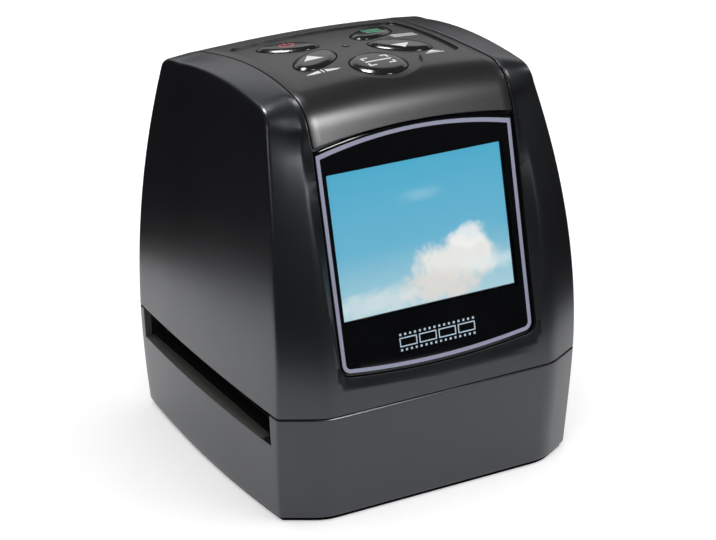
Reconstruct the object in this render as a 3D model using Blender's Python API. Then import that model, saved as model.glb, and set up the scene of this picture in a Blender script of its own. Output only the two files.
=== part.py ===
"""Desktop film negative scanner, built piece by piece.

A moulded upper shell and a lower shell meet at a parting line, and a film slot runs through both sides
just below it. A cover wraps from the brow above the display over the top, and carries five keys.
Sizes in this script are millimetres and become metres when a mesh is made. X runs across the scanner,
the display faces -Y, +Z is up, and the origin is on the table under the middle of the scanner.
"""

import math

import bmesh
import bpy
from mathutils import Vector

for old in list(bpy.data.objects):
    bpy.data.objects.remove(old)

MM = 0.001
GAP = 0.3  # left between pieces that touch

# Casing: heights above the table, half widths from the middle, and the radii of its long curves
BASE_BOTTOM = 1.0
PARTING = 28.8
PARTING_GROOVE = 0.4
WALL = 2.0
SIDE_HALF = 41.95
SIDE_LEAN_RADIUS = 440.0
SIDE_BOW = 1.1
BASE_TAPER = 1.0
BASE_BOW = 2.0
FRONT_Y = -45.9
FRONT_STRAIGHT_TO = 34.0
FRONT_RADIUS = 125.0
BROW_RADIUS = 147.0
BROW_OVER_RIDGE = 0.7
FRONT_CREASE_Y = -40.3
FRONT_CREASE_RADIUS = 143.0
FRONT_CREASE_Z = 40.5
BACK_Y = 45.9
BACK_RADIUS = 235.0
BACK_CREASE_Y = 43.75
BACK_CREASE_RADIUS = 253.0
BACK_CREASE_Z = 21.0
BASE_FRONT_BOTTOM_Y = -42.9
TOP_SEAM_Y = -7.5
TOP_SEAM_Z = 104.15
TOP_SEAM_RADIUS = 190.0
TOP_CREASE_Y = -4.0
TOP_CREASE_Z = 103.15
TOP_CREASE_RADIUS = 150.0
CORNER_START_Z = 97.0
TOP_START_Y = -23.5
TOP_END_Y = 23.0
BAND_HALF = 30.2
BAND_HALF_LOW = 28.4
BAND_NARROWS_FROM = 80.0
RIDGE_RISES_FROM = 90.0
FACE_HALF = 32.0
FACE_HALF_LOW = 31.1
FACE_WIDEST_Z = 60.0

# Display window: a flat pane in a plane that leans back
WINDOW_Y = -38.45
WINDOW_Z = 68.8
WINDOW_TILT = math.radians(11.77)
PANE_HALF_TOP = 27.3
PANE_HALF_BOTTOM = 27.1
PANE_TOP = 23.2
PANE_TOP_RISE = 3.0
PANE_BOTTOM = -31.2
PANE_BOTTOM_DROP = 1.5
PANE_CORNER = 3.0
PANE_THICK = 1.5
BAY_RIM = 0.8
BAY_FROM_Z = 38.0
SILL_V = -35.4
SILL_HALF = 28.5

# Display: the panel close behind the pane, in a tray of its own. Depths are measured in from the pane's face
PANEL_HALF_X = 25.5
PANEL_HALF_UP = 19.8
PANEL_MIDDLE = -1.0
PANEL_FRONT = 1.9
PANEL_BACK = 5.6
TRAY_FRONT = 4.6
TRAY_BACK = 8.0
TRAY_RIM = 2.0

# Top cover: from the brow's lip over the top to the back, swelling a little between its two edges
COVER_THICK = 1.9
COVER_HALF = 27.5
COVER_HALF_MIDDLE = 26.4
COVER_CROWN = 1.2
CROWN_FROM_Y = -35.0
CROWN_TO_Y = 36.0
CROWN_RUN = 12.0
SEAM_GAP = 0.35
LIP_TOP = 26.6
LIP_DROP = 2.7
RECESS_DEPTH = 0.6
RECESS_HALF = 23.5
RECESS_BACK_Y = 20.0
RECESS_SHOULDER_Y = -16.5
RECESS_LOBE_Y = -15.2
RECESS_LOBE_RADIUS = 11.4

# Keys: place of each one's middle, half length, half width and turn
KEYS = {
    "power_key": (-11.8, 9.2, 7.8, 4.35, -37.0),
    "menu_key": (11.8, 9.2, 7.8, 4.35, 37.0),
    "left_key": (-11.8, -5.9, 8.0, 4.6, 41.5),
    "right_key": (11.8, -5.9, 8.0, 4.6, -41.5),
    "scan_key": (0.0, -16.5, 6.8, 7.7, 0.0),
}
KEY_GAP = 0.3
KEY_EDGE_RISE = 0.1
KEY_RISE = 0.75
KEY_FLANGE = 0.8
KEY_FLANGE_THICK = 0.9
KEY_TRAVEL = 0.5
BOARD_TOP = 94.6
BOARD_THICK = 1.4
BOARD_SCREWS = ((-19.0, -17.0), (19.0, -17.0))
SWITCH_SIDE = 5.0
SWITCH_HEIGHT = 2.2
PLUNGER_RISE = 0.8
LIGHT_Y = 0.4
LIGHT_RADIUS = 0.9

# Film path
SLOT_FRONT_Y = -35.8
SLOT_BACK_Y = 39.0
MOUTH_BACK_Y = 40.5
SLOT_FLOOR = 20.5
GUIDE_HALF_X = 36.0
GUIDE_UNDER = 27.6
GATE_X = 37.0
GATE_Y = 25.0
DETENT_Y = 29.0
LIGHT_BOX_LOW = 3.2
LENS_TOP = 62.5

# What holds it together, and the sockets at the back
POSTS = ((-28.5, -38.4), (28.5, -38.4), (-28.5, 40.8), (28.5, 40.8))
POST_RADIUS = 2.7
SCREW_HOLE = 1.2
PLATE_BOTTOM = 0.6
PLATE_TOP = 2.6
FEET = ((-30.0, -29.0), (30.0, -29.0), (-30.0, 32.0), (30.0, 32.0))
BOARD_SCREW_POSTS = ((-28.0, -15.0), (28.0, 26.0))
BOARD_PIN_POSTS = ((28.0, -15.0), (-28.0, 26.0))
MAIN_BOARD_Z = 68.0
CARD_X = 11.0
CARD_Z = 71.2
USB_X = -12.0
USB_Z = 71.6
TV_X = -23.0
TV_Z = 72.8
RIBBON_THICK = 0.35

FINISHES = {
    "shell_plastic": ((0.035, 0.036, 0.038), 0.38, 0.0),
    "cover_plastic": ((0.03, 0.03, 0.032), 0.34, 0.0),
    "key_plastic": ((0.02, 0.02, 0.022), 0.25, 0.0),
    "inner_plastic": ((0.02, 0.02, 0.02), 0.6, 0.0),
    "white_plastic": ((0.8, 0.8, 0.78), 0.5, 0.0),
    "pane_gloss": ((0.01, 0.01, 0.012), 0.08, 0.0),
    "lcd_glass": ((0.2, 0.5, 0.65), 0.15, 0.0),
    "clear_plastic": ((0.9, 0.9, 0.9), 0.2, 0.0),
    "lens_glass": ((0.7, 0.75, 0.8), 0.05, 0.0),
    "circuit_board": ((0.03, 0.16, 0.07), 0.45, 0.0),
    "chip_black": ((0.02, 0.02, 0.022), 0.4, 0.0),
    "steel": ((0.55, 0.55, 0.55), 0.35, 1.0),
    "foot_rubber": ((0.03, 0.03, 0.03), 0.85, 0.0),
    "ribbon": ((0.75, 0.45, 0.12), 0.4, 0.0),
}


def material(name):
    """The Principled material of a finish, made once."""
    found = bpy.data.materials.get(name)
    if found:
        return found
    colour, roughness, metallic = FINISHES[name]
    made = bpy.data.materials.new(name)
    made.use_nodes = True
    shader = made.node_tree.nodes["Principled BSDF"]
    shader.inputs["Base Color"].default_value = (*colour, 1.0)
    shader.inputs["Roughness"].default_value = roughness
    shader.inputs["Metallic"].default_value = metallic
    made.diffuse_color = (*colour, 1.0)
    return made


def warped(face):
    """Whether the face isn't flat, and so has to be split before a Boolean reads it."""
    face.normal_update()
    corner = face.verts[0].co
    return any(abs((vert.co - corner).dot(face.normal)) > 0.0001 for vert in face.verts)


def piece(name, bm, finish, origin=(0.0, 0.0, 0.0)):
    """An object of this mesh, in metres, whose own origin is at a point given in millimetres."""
    bmesh.ops.remove_doubles(bm, verts=bm.verts, dist=0.0005)
    bmesh.ops.recalc_face_normals(bm, faces=bm.faces)
    bmesh.ops.triangulate(bm, faces=[face for face in bm.faces if warped(face)])
    bmesh.ops.translate(bm, verts=bm.verts, vec=-Vector(origin))
    bmesh.ops.scale(bm, verts=bm.verts, vec=(MM, MM, MM))
    mesh = bpy.data.meshes.new(name)
    bm.to_mesh(mesh)
    bm.free()
    mesh.materials.append(material(finish))
    obj = bpy.data.objects.new(name, mesh)
    obj.location = Vector(origin) * MM
    bpy.context.scene.collection.objects.link(obj)
    return obj


def combine(target, tool, operation, solver="EXACT"):
    """Joins, cuts or intersects the target with the tool, and removes the tool."""
    modifier = target.modifiers.new(operation.lower(), "BOOLEAN")
    modifier.operation = operation
    modifier.solver = solver
    modifier.object = tool
    bpy.context.view_layer.update()
    graph = bpy.context.evaluated_depsgraph_get()
    result = bpy.data.meshes.new_from_object(target.evaluated_get(graph))
    target.modifiers.clear()
    target.data = result
    bpy.data.objects.remove(tool)


def cut(target, *tools):
    for tool in tools:
        combine(target, tool, "DIFFERENCE")


def carve(target, *tools):
    """Cuts where both surfaces are long curves, which the manifold solver takes without gaps."""
    for tool in tools:
        combine(target, tool, "DIFFERENCE", "MANIFOLD")


def join(target, *tools):
    for tool in tools:
        combine(target, tool, "UNION")


def smooth(obj, angle=32.0):
    """Shades round faces smooth and keeps edges over this angle sharp."""
    obj.data.shade_smooth()
    obj.data.set_sharp_from_angle(angle=math.radians(angle))
    return obj


def loft(rings, closed_ends=True):
    """Skin over rings of points that match one to one."""
    bm = bmesh.new()
    rows = [[bm.verts.new(p) for p in ring] for ring in rings]
    count = len(rows[0])
    for lower, upper in zip(rows, rows[1:]):
        for i in range(count):
            j = (i + 1) % count
            bm.faces.new((lower[i], lower[j], upper[j], upper[i]))
    if closed_ends:
        bm.faces.new(reversed(rows[0]))
        bm.faces.new(rows[-1])
    return bm


def prism(outline, low, high):
    """An outline in X and Y raised from one height to another."""
    return loft([[(x, y, z) for x, y in outline] for z in (low, high)])


def block(low, high):
    (x0, y0, z0), (x1, y1, z1) = low, high
    return prism([(x0, y0), (x1, y0), (x1, y1), (x0, y1)], z0, z1)


def circle(x, y, radius, count=16):
    turns = [math.tau * i / count for i in range(count)]
    return [(x + radius * math.cos(t), y + radius * math.sin(t)) for t in turns]


def turned(profile, x, y, count=16):
    """A round piece standing on Z, from pairs of radius and height."""
    return loft([[(px, py, z) for px, py in circle(x, y, radius, count)] for radius, z in profile])


def lying(profile, x, z, count=16):
    """A round piece lying along Y, from pairs of radius and depth."""
    return loft([[(px, y, pz) for px, pz in circle(x, z, radius, count)] for radius, y in profile])


def rounded(half_x, half_y, radius, x=0.0, y=0.0, steps=3):
    """A rectangle with round corners, in X and Y."""
    points = []
    for corner, (sx, sy) in enumerate(((1, 1), (-1, 1), (-1, -1), (1, -1))):
        for i in range(steps + 1):
            turn = math.radians(90 * (corner + i / steps))
            points.append(
                (
                    x + sx * (half_x - radius) + radius * math.cos(turn),
                    y + sy * (half_y - radius) + radius * math.sin(turn),
                )
            )
    return points


def bezier(start, corner, end, steps):
    """Points inside a round corner, without its two ends."""
    points = []
    for i in range(1, steps + 1):
        t = i / (steps + 1)
        weights = ((1 - t) ** 2, 2 * t * (1 - t), t * t)
        places = zip(start, corner, end)
        points.append(tuple(weights[0] * a + weights[1] * b + weights[2] * c for a, b, c in places))
    return points


def on_window(x, up, out):
    """A point given across, up and out of the pane's plane."""
    sine, cosine = math.sin(WINDOW_TILT), math.cos(WINDOW_TILT)
    return (x, WINDOW_Y + up * sine - out * cosine, WINDOW_Z + up * cosine + out * sine)


def window_y(z):
    return WINDOW_Y + (z - WINDOW_Z) * math.tan(WINDOW_TILT)


# The long curves of the casing, each as a place for a height or a depth


def side_x(z):
    if z >= PARTING:
        return SIDE_HALF - (z - PARTING) ** 2 / (2 * SIDE_LEAN_RADIUS)
    return SIDE_HALF - BASE_TAPER * ((PARTING - z) / (PARTING - BASE_BOTTOM)) ** 1.6


def side_bow(z):
    if z < PARTING:
        return SIDE_BOW + (BASE_BOW - SIDE_BOW) * (PARTING - z) / (PARTING - BASE_BOTTOM)
    return SIDE_BOW * (1 - (z - PARTING) / (TOP_CREASE_Z - PARTING)) ** 0.7 if z < TOP_CREASE_Z else 0.0


def front_crease_y(z):
    if z >= PARTING:
        return FRONT_CREASE_Y + (z - FRONT_CREASE_Z) ** 2 / (2 * FRONT_CREASE_RADIUS)
    return FRONT_CREASE_Y + 0.48 + (PARTING - z) * 0.1


def back_crease_y(z):
    return BACK_CREASE_Y - (z - BACK_CREASE_Z) ** 2 / (2 * BACK_CREASE_RADIUS)


def face_y(z):
    if z < PARTING:
        return FRONT_Y + (BASE_FRONT_BOTTOM_Y - FRONT_Y) * ((PARTING - z) / (PARTING - BASE_BOTTOM)) ** 1.2
    return FRONT_Y + max(z - FRONT_STRAIGHT_TO, 0.0) ** 2 / (2 * FRONT_RADIUS)


def bay_y(z):
    """The rim beside the pane, a little proud of the pane, and above it the brow. Under the bay, the face."""
    brow = FRONT_Y + max(z - FRONT_STRAIGHT_TO, 0.0) ** 2 / (2 * BROW_RADIUS)
    return max(window_y(z) - BAY_RIM, brow) if z > BAY_FROM_Z else face_y(z)


def back_y(z):
    return BACK_Y - (z - BACK_CREASE_Z) ** 2 / (2 * BACK_RADIUS)


def back_strip_x(z, share):
    """A place on the back between the cover's edge line and the side wall."""
    return COVER_HALF + (side_x(z) - COVER_HALF) * share


def band_x(z):
    """The ridge beside the bay, which runs in to the cover's seam at the top."""
    if z <= BAND_NARROWS_FROM:
        share = min(max((BAND_NARROWS_FROM - z) / 40.0, 0.0), 1.0)
        return BAND_HALF - (BAND_HALF - BAND_HALF_LOW) * share**2
    share = (z - BAND_NARROWS_FROM) / (TOP_SEAM_Z - BAND_NARROWS_FROM)
    return BAND_HALF - (BAND_HALF - COVER_HALF) * share**1.6


def ridge_y(z):
    """The ridge lies in the front face, and near the top it comes out to the brow."""
    share = min(max((z - RIDGE_RISES_FROM) / (CORNER_START_Z - RIDGE_RISES_FROM), 0.0), 1.0)
    return face_y(z) + (bay_y(z) + BROW_OVER_RIDGE - face_y(z)) * share**2


def face_x(z):
    """Where the front face ends and the corner's slant begins."""
    if z <= FACE_WIDEST_Z:
        share = (FACE_WIDEST_Z - z) / (FACE_WIDEST_Z - BASE_BOTTOM)
        return FACE_HALF - (FACE_HALF - FACE_HALF_LOW) * share**2
    return FACE_HALF - 2.5 * ((z - FACE_WIDEST_Z) / (CORNER_START_Z - FACE_WIDEST_Z)) ** 1.6


def top_seam_z(y):
    return TOP_SEAM_Z - (y - TOP_SEAM_Y) ** 2 / (2 * TOP_SEAM_RADIUS)


def top_crease_z(y):
    return TOP_CREASE_Z - (y - TOP_CREASE_Y) ** 2 / (2 * TOP_CREASE_RADIUS)


def seam_x(y):
    """Half width of the cover, which is a little slimmer in the middle of the top."""
    share = min(abs(y) / TOP_END_Y, 1.0)
    return COVER_HALF_MIDDLE + (COVER_HALF - COVER_HALF_MIDDLE) * share**2


def eased(share):
    """From nothing to one, slow at both ends."""
    share = min(max(share, 0.0), 1.0)
    return share * share * (3 - 2 * share)


def crown(x, y):
    """How far the cover swells above its edges, which fades out towards its two ends."""
    across = 1 - min(abs(x) / seam_x(y), 1.0) ** 2
    return COVER_CROWN * across * eased((y - CROWN_FROM_Y) / CROWN_RUN) * eased((CROWN_TO_Y - y) / CROWN_RUN)


def cover_z(x, y):
    """Height of the cover's outer face over the top."""
    return top_seam_z(y) + crown(x, y)


TOP_STEPS = 4
CORNER_STEPS = 3
COVER_STARTS_Z = 90.0
WALL_HEIGHTS = [PARTING + PARTING_GROOVE, 37.0, 39.5, 46.0, 54.0, 63.0, 72.0, 81.0]
WALL_HEIGHTS += [COVER_STARTS_Z, 94.0, CORNER_START_Z]
TOP_DEPTHS = [TOP_START_Y + (TOP_END_Y - TOP_START_Y) * i / TOP_STEPS for i in range(TOP_STEPS + 1)]


def wrap(front, front_corner, top, back_corner, back):
    """One line over the casing: up the front, round the corner, over the top and down the back.

    front and back give a point for a height, and top gives one for a depth.
    """
    line = [front(z) for z in WALL_HEIGHTS]
    line += bezier(front(CORNER_START_Z), front_corner, top(TOP_START_Y), CORNER_STEPS)
    line += [top(y) for y in TOP_DEPTHS]
    line += bezier(top(TOP_END_Y), back_corner, back(CORNER_START_Z), CORNER_STEPS)
    line += [back(z) for z in reversed(WALL_HEIGHTS)]
    return line


def crease_line():
    """Where the side wall turns into the front, the top and the back."""
    return wrap(
        lambda z: (side_x(z), front_crease_y(z), z),
        (36.0, -28.5, 101.5),
        lambda y: (side_x(top_crease_z(y)), y, top_crease_z(y)),
        (35.9, 32.2, 100.3),
        lambda z: (side_x(z), back_crease_y(z), z),
    )


def edge_line():
    """Where the corner's slant meets the front face."""
    return wrap(
        lambda z: (face_x(z), ridge_y(z) + 0.12, z),
        (28.9, -29.0, 102.3),
        lambda y: (seam_x(y) + 1.6, y, top_seam_z(y) - 0.12),
        (31.5, 32.9, 100.4),
        lambda z: (back_strip_x(z, 0.62), back_y(z) - 0.3, z),
    )


def ridge_line():
    """The ridge of the side band beside the brow and the pane."""
    return wrap(
        lambda z: (band_x(z), ridge_y(z), z),
        (28.0, -29.4, 102.6),
        lambda y: (seam_x(y) + 0.7, y, top_seam_z(y)),
        (29.5, 33.2, 100.6),
        lambda z: (back_strip_x(z, 0.3), back_y(z) - 0.1, z),
    )


def seam_line():
    """The edge of the top cover, carried on down the front and the back."""
    return wrap(
        lambda z: (COVER_HALF, bay_y(z), z),
        (COVER_HALF, -30.0, 102.8),
        lambda y: (seam_x(y), y, top_seam_z(y)),
        (COVER_HALF, 33.4, 100.6),
        lambda z: (COVER_HALF, back_y(z), z),
    )


def casing_skin():
    """The upper casing's outer skin, open at the parting line."""
    crease = crease_line()
    seam = seam_line()
    middle = [(0.0, y, z) for _, y, z in seam]
    heights = len(WALL_HEIGHTS)
    bm = bmesh.new()

    def patch(rows):
        made = [[bm.verts.new(p) for p in row] for row in rows]
        for first, second in zip(made, made[1:]):
            for a, b, c, d in zip(first, first[1:], second[1:], second):
                bm.faces.new((a, b, c, d))

    for side in (1, -1):
        lines = (crease, edge_line(), ridge_line(), seam, middle)
        patch([[(side * x, y, z) for x, y, z in line] for line in lines])
        over = [(side * x, y, z) for x, y, z in crease[heights:-heights]]
        rows = []
        for front, back in list(zip(crease, reversed(crease)))[:heights]:
            row = [(side * front[0], front[1], front[2])]
            for i in range(len(over)):
                share = (i + 1) / (len(over) + 1)
                x = front[0] + (back[0] - front[0]) * share + side_bow(front[2]) * 4 * share * (1 - share)
                row.append((side * x, front[1] + (back[1] - front[1]) * share, front[2]))
            row.append((side * back[0], back[1], back[2]))
            rows.append(row)
        patch(rows)
        patch([rows[-1][1:-1], over])
        for corner in ((rows[-1][0], rows[-1][1], over[0]), (rows[-1][-1], over[-1], rows[-1][-2])):
            bm.faces.new([bm.verts.new(p) for p in corner])
    bmesh.ops.remove_doubles(bm, verts=bm.verts, dist=0.001)
    bmesh.ops.recalc_face_normals(bm, faces=bm.faces)
    return bm


def casing_volume(inset=0.0, bottom=0.0):
    """The volume inside the upper casing's skin, or inside a wall of this thickness, closed flat below."""
    bm = casing_skin()
    bm.normal_update()
    inner = {vert: vert.co - vert.normal * vert.calc_shell_factor() * inset for vert in bm.verts}
    for vert, place in inner.items():
        vert.co = place
        if vert.is_boundary:
            vert.co.z -= bottom
    bmesh.ops.holes_fill(bm, edges=[edge for edge in bm.edges if edge.is_boundary])
    return bm


def path_strip(inner, outer, high, low, columns=1, swell=0.0):
    """A strip that follows the cover's edge from the front end of the cover to its back end.

    inner and outer give its two edges across for the cover's half width there. high and low are how
    far its two faces lie under the skin. With a swell of one, both faces are crowned as the cover is.
    """
    ends = WALL_HEIGHTS.index(COVER_STARTS_Z)
    line = seam_line()[ends:-ends]
    rings = []
    for i, (half, y, z) in enumerate(line):
        before = line[max(i - 1, 0)]
        after = line[min(i + 1, len(line) - 1)]
        run = Vector((after[1] - before[1], after[2] - before[2])).normalized()
        under = Vector((run.y, -run.x))
        left = inner(half)
        step = (outer(half) - left) / columns
        across = [left + step * k for k in range(columns + 1)]
        ring = []
        for row, depth in ((across, low), (reversed(across), high)):
            for x in row:
                sunk = depth - swell * crown(x, y)
                ring.append((x, y + under.x * sunk, z + under.y * sunk))
        rings.append(ring)
    return loft(rings)


def over_cover(depth, columns=6):
    """Everything above a sheet that lies this far under the top cover's skin."""
    across = [COVER_HALF * 1.1 * (2 * k / columns - 1) for k in range(columns + 1)]
    rings = []
    for i in range(13):
        y = -32.0 + 5.0 * i
        sheet = [(x, y, cover_z(x, y) - depth) for x in across]
        rings.append(sheet + [(across[-1], y, 120.0), (across[0], y, 120.0)])
    return loft(rings)


def pane_outline(steps=6):
    """The pane's edge in its own plane, anticlockwise, as pairs of across and up."""
    points = []
    reach = PANE_HALF_BOTTOM - PANE_CORNER
    for i in range(steps + 1):
        share = -1 + 2 * i / steps
        points.append((reach * share, PANE_BOTTOM - PANE_BOTTOM_DROP * (1 - share * share)))
    right = []
    for i in range(1, 4):
        turn = math.radians(-90 + 30 * i)
        right.append((reach + PANE_CORNER * math.cos(turn), PANE_BOTTOM + PANE_CORNER * (1 + math.sin(turn))))
    low = PANE_BOTTOM + PANE_CORNER
    for i in range(1, steps + 1):
        share = i / steps
        half = PANE_HALF_BOTTOM + (PANE_HALF_TOP - PANE_HALF_BOTTOM) * share
        right.append((half, low + (PANE_TOP - low) * share))
    points += right
    for i in range(1, steps):
        share = 1 - 2 * i / steps
        points.append((PANE_HALF_TOP * share, PANE_TOP + PANE_TOP_RISE * (1 - share * share)))
    points += [(-x, up) for x, up in reversed(right)]
    return points


def grown(outline, distance):
    """The outline moved outwards, square to its edges."""
    moved = []
    count = len(outline)
    for i, point in enumerate(outline):
        here = Vector(point)
        into = (here - Vector(outline[i - 1])).normalized()
        away = (Vector(outline[(i + 1) % count]) - here).normalized()
        normal = Vector((into.y + away.y, -into.x - away.x)).normalized()
        moved.append(tuple(here + normal * distance / max(normal.dot(Vector((into.y, -into.x))), 0.4)))
    return moved


def window_prism(outline, low, high):
    return loft([[on_window(x, up, out) for x, up in outline] for out in (low, high)])


def sill_cutter(steps=8):
    """What is cut below the pane, where the face slopes in to the pane's curved lower edge."""
    rings = []
    for i in range(steps + 1):
        x = SILL_HALF * (2 * i / steps - 1)
        corner = min(max(abs(x) - PANE_HALF_BOTTOM + PANE_CORNER, 0.0), PANE_CORNER)
        share = min(abs(x) / (PANE_HALF_BOTTOM - PANE_CORNER), 1.0)
        edge = PANE_BOTTOM - PANE_BOTTOM_DROP * (1 - share * share)
        edge += PANE_CORNER - math.sqrt(PANE_CORNER**2 - corner**2)
        sill = SILL_V + 0.9 * (x / 17.0) ** 2 + 1.5 * (max(abs(x) - 26.0, 0.0) / 2.5) ** 2
        inner = Vector(on_window(x, edge, 0.1 + (BAY_RIM - 0.1) * (corner / PANE_CORNER) ** 2))
        outer = Vector(on_window(x, sill, 0.0))
        outer.y = face_y(outer.z)
        outer = inner + (outer - inner) * 1.3
        away = Vector((0.0, -4.0, 0.0))
        rings.append([inner, outer, outer + away, inner + away])
    return loft(rings)


def build_upper_shell():
    """The moulded housing above the film slot, with the bay for the display and seats for the cover."""
    room = piece("room", casing_volume(WALL, 8.0), "shell_plastic")
    carve(room, piece("bay", window_prism(grown(pane_outline(), 2.0), -4.2, 7.0), "shell_plastic"))
    for side in (1, -1):
        ledge = path_strip(lambda x: side * 22.5, lambda x: side * (x + 1.5), -1.0, 3.8)
        carve(room, piece("ledge", ledge, "shell_plastic"))
    for x, y in POSTS:
        wall_y = FRONT_Y if y < 0 else BACK_Y
        rib = block((x - 0.7, min(y, wall_y), 15.0), (x + 0.7, max(y, wall_y), 41.0))
        carve(room, piece("rib", rib, "shell_plastic"))
        carve(room, piece("boss", turned([(POST_RADIUS, 10.0), (POST_RADIUS, 42.0)], x, y), "shell_plastic"))

    shell = piece("upper_shell", casing_volume(), "shell_plastic")
    carve(shell, room)
    carve(shell, piece("cover_seat", path_strip(lambda x: -x, lambda x: x, -6.0, 2.2), "shell_plastic"))
    carve(shell, piece("sill", sill_cutter(), "shell_plastic"))
    pocket = window_prism(grown(pane_outline(), GAP), -PANE_THICK - GAP, 7.0)
    carve(shell, piece("pane_seat", pocket, "shell_plastic"))
    carve(shell, piece("view_cut", window_prism(around_panel(0.4, 1.3), -9.0, 2.0), "shell_plastic"))

    for x, y in POSTS:
        hole = turned([(SCREW_HOLE, 20.0), (SCREW_HOLE, 40.0)], x, y, 12)
        carve(shell, piece("hole", hole, "shell_plastic"))
    usb = block((USB_X - 4.4, 30.0, USB_Z - 2.5), (USB_X + 4.4, 50.0, USB_Z + 2.5))
    card = block((CARD_X - 13.3, 30.0, CARD_Z - 1.7), (CARD_X + 13.3, 50.0, CARD_Z + 1.7))
    carve(shell, piece("usb_port", usb, "shell_plastic"), piece("card_port", card, "shell_plastic"))
    carve(shell, piece("tv_port", lying([(3.4, 30.0), (3.4, 50.0)], TV_X, TV_Z), "shell_plastic"))
    return smooth(shell)


def base_outline(z, inset=0.0, steps=8):
    """The lower casing in plan at a height."""
    half = []
    crease_x = side_x(z)
    front = front_crease_y(z)
    back = back_crease_y(z)
    half.append((face_x(z), face_y(z)))
    for i in range(steps + 1):
        share = i / steps
        half.append((crease_x + side_bow(z) * 4 * share * (1 - share), front + (back - front) * share))
    half.append((crease_x - 8.0, back_y(z)))
    outline = half + [(-x, y) for x, y in reversed(half)]
    return grown(outline, -inset) if inset else outline


def base_loft(heights, inset):
    """The room inside the lower casing, which goes on straight under the casing's bottom edge."""
    return loft([[(x, y, z) for x, y in base_outline(max(z, BASE_BOTTOM), inset)] for z in heights])


def build_base_shell():
    """The lower casing: a ring of walls with the slot mouths notched into its two sides."""
    rings = [[(x, y, BASE_BOTTOM) for x, y in base_outline(BASE_BOTTOM, 0.7)]]
    for z in (BASE_BOTTOM + 0.7, 7.0, 13.0, 19.0, 24.0, PARTING):
        rings.append([(x, y, z) for x, y in base_outline(z)])
    shell = piece("base_shell", loft(rings), "shell_plastic")
    deck = SLOT_FLOOR - 2.0
    cut(shell, piece("hollow", base_loft((0.0, 6.0, 12.0, deck), WALL), "shell_plastic"))
    mouth = block((-50.0, SLOT_FRONT_Y, SLOT_FLOOR), (50.0, SLOT_BACK_Y, 40.0))
    well = block((-GUIDE_HALF_X, SLOT_FRONT_Y, 15.0), (GUIDE_HALF_X, SLOT_BACK_Y - 2.0, 22.0))
    pocket = block((-23.0, FRONT_Y + 2.3, 15.0), (23.0, SLOT_FRONT_Y - 2.0, PARTING - 2.0))
    cut(shell, piece("mouth", mouth, "shell_plastic"), piece("well", well, "shell_plastic"))
    for side in (1, -1):
        ends = sorted((side * GUIDE_HALF_X, side * 50.0))
        flare = block((ends[0], SLOT_FRONT_Y + 5.0, SLOT_FLOOR), (ends[1], MOUTH_BACK_Y, 40.0))
        cut(shell, piece("flare", flare, "shell_plastic"))
    cut(shell, piece("pocket", pocket, "shell_plastic"))
    for x, y in POSTS:
        post = turned([(POST_RADIUS, PLATE_TOP + GAP), (POST_RADIUS, SLOT_FLOOR)], x, y)
        join(shell, piece("post", post, "shell_plastic"))
        hole = turned([(SCREW_HOLE, 0.0), (SCREW_HOLE, 40.0)], x, y, 12)
        cut(shell, piece("hole", hole, "shell_plastic"))
    return smooth(shell)


def build_base_plate():
    """The flat plate that closes the bottom, with seats for the feet and holes for the screws."""
    outline = base_outline(BASE_BOTTOM, WALL + GAP)
    plate = piece("base_plate", prism(outline, PLATE_BOTTOM, PLATE_TOP), "inner_plastic")
    for x, y in POSTS:
        through = piece("hole", turned([(SCREW_HOLE, 0.0), (SCREW_HOLE, 9.0)], x, y, 12), "inner_plastic")
        head = piece("head", turned([(2.2, 0.0), (2.2, PLATE_BOTTOM + 1.2)], x, y, 12), "inner_plastic")
        cut(plate, through, head)
    for x, y in FEET:
        seat = turned([(5.4, 0.0), (5.4, PLATE_BOTTOM + 1.0)], x, y)
        cut(plate, piece("seat", seat, "inner_plastic"))
    for i, (x, y) in enumerate(FEET):
        profile = [(4.2, 0.0), (4.8, 0.5), (5.0, PLATE_BOTTOM + 1.0 - GAP)]
        smooth(piece(f"foot_{i + 1}", turned(profile, x, y), "foot_rubber"))
    for i, (x, y) in enumerate(POSTS):
        under = PLATE_BOTTOM + 1.2 - GAP
        profile = [(1.5, under - 1.2), (1.9, under - 0.8), (1.9, under)]
        profile += [(0.9, under), (0.9, 38.0), (0.3, 39.0)]
        smooth(piece(f"casing_screw_{i + 1}", turned(profile, x, y, 10), "steel"))
    return smooth(plate)


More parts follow.
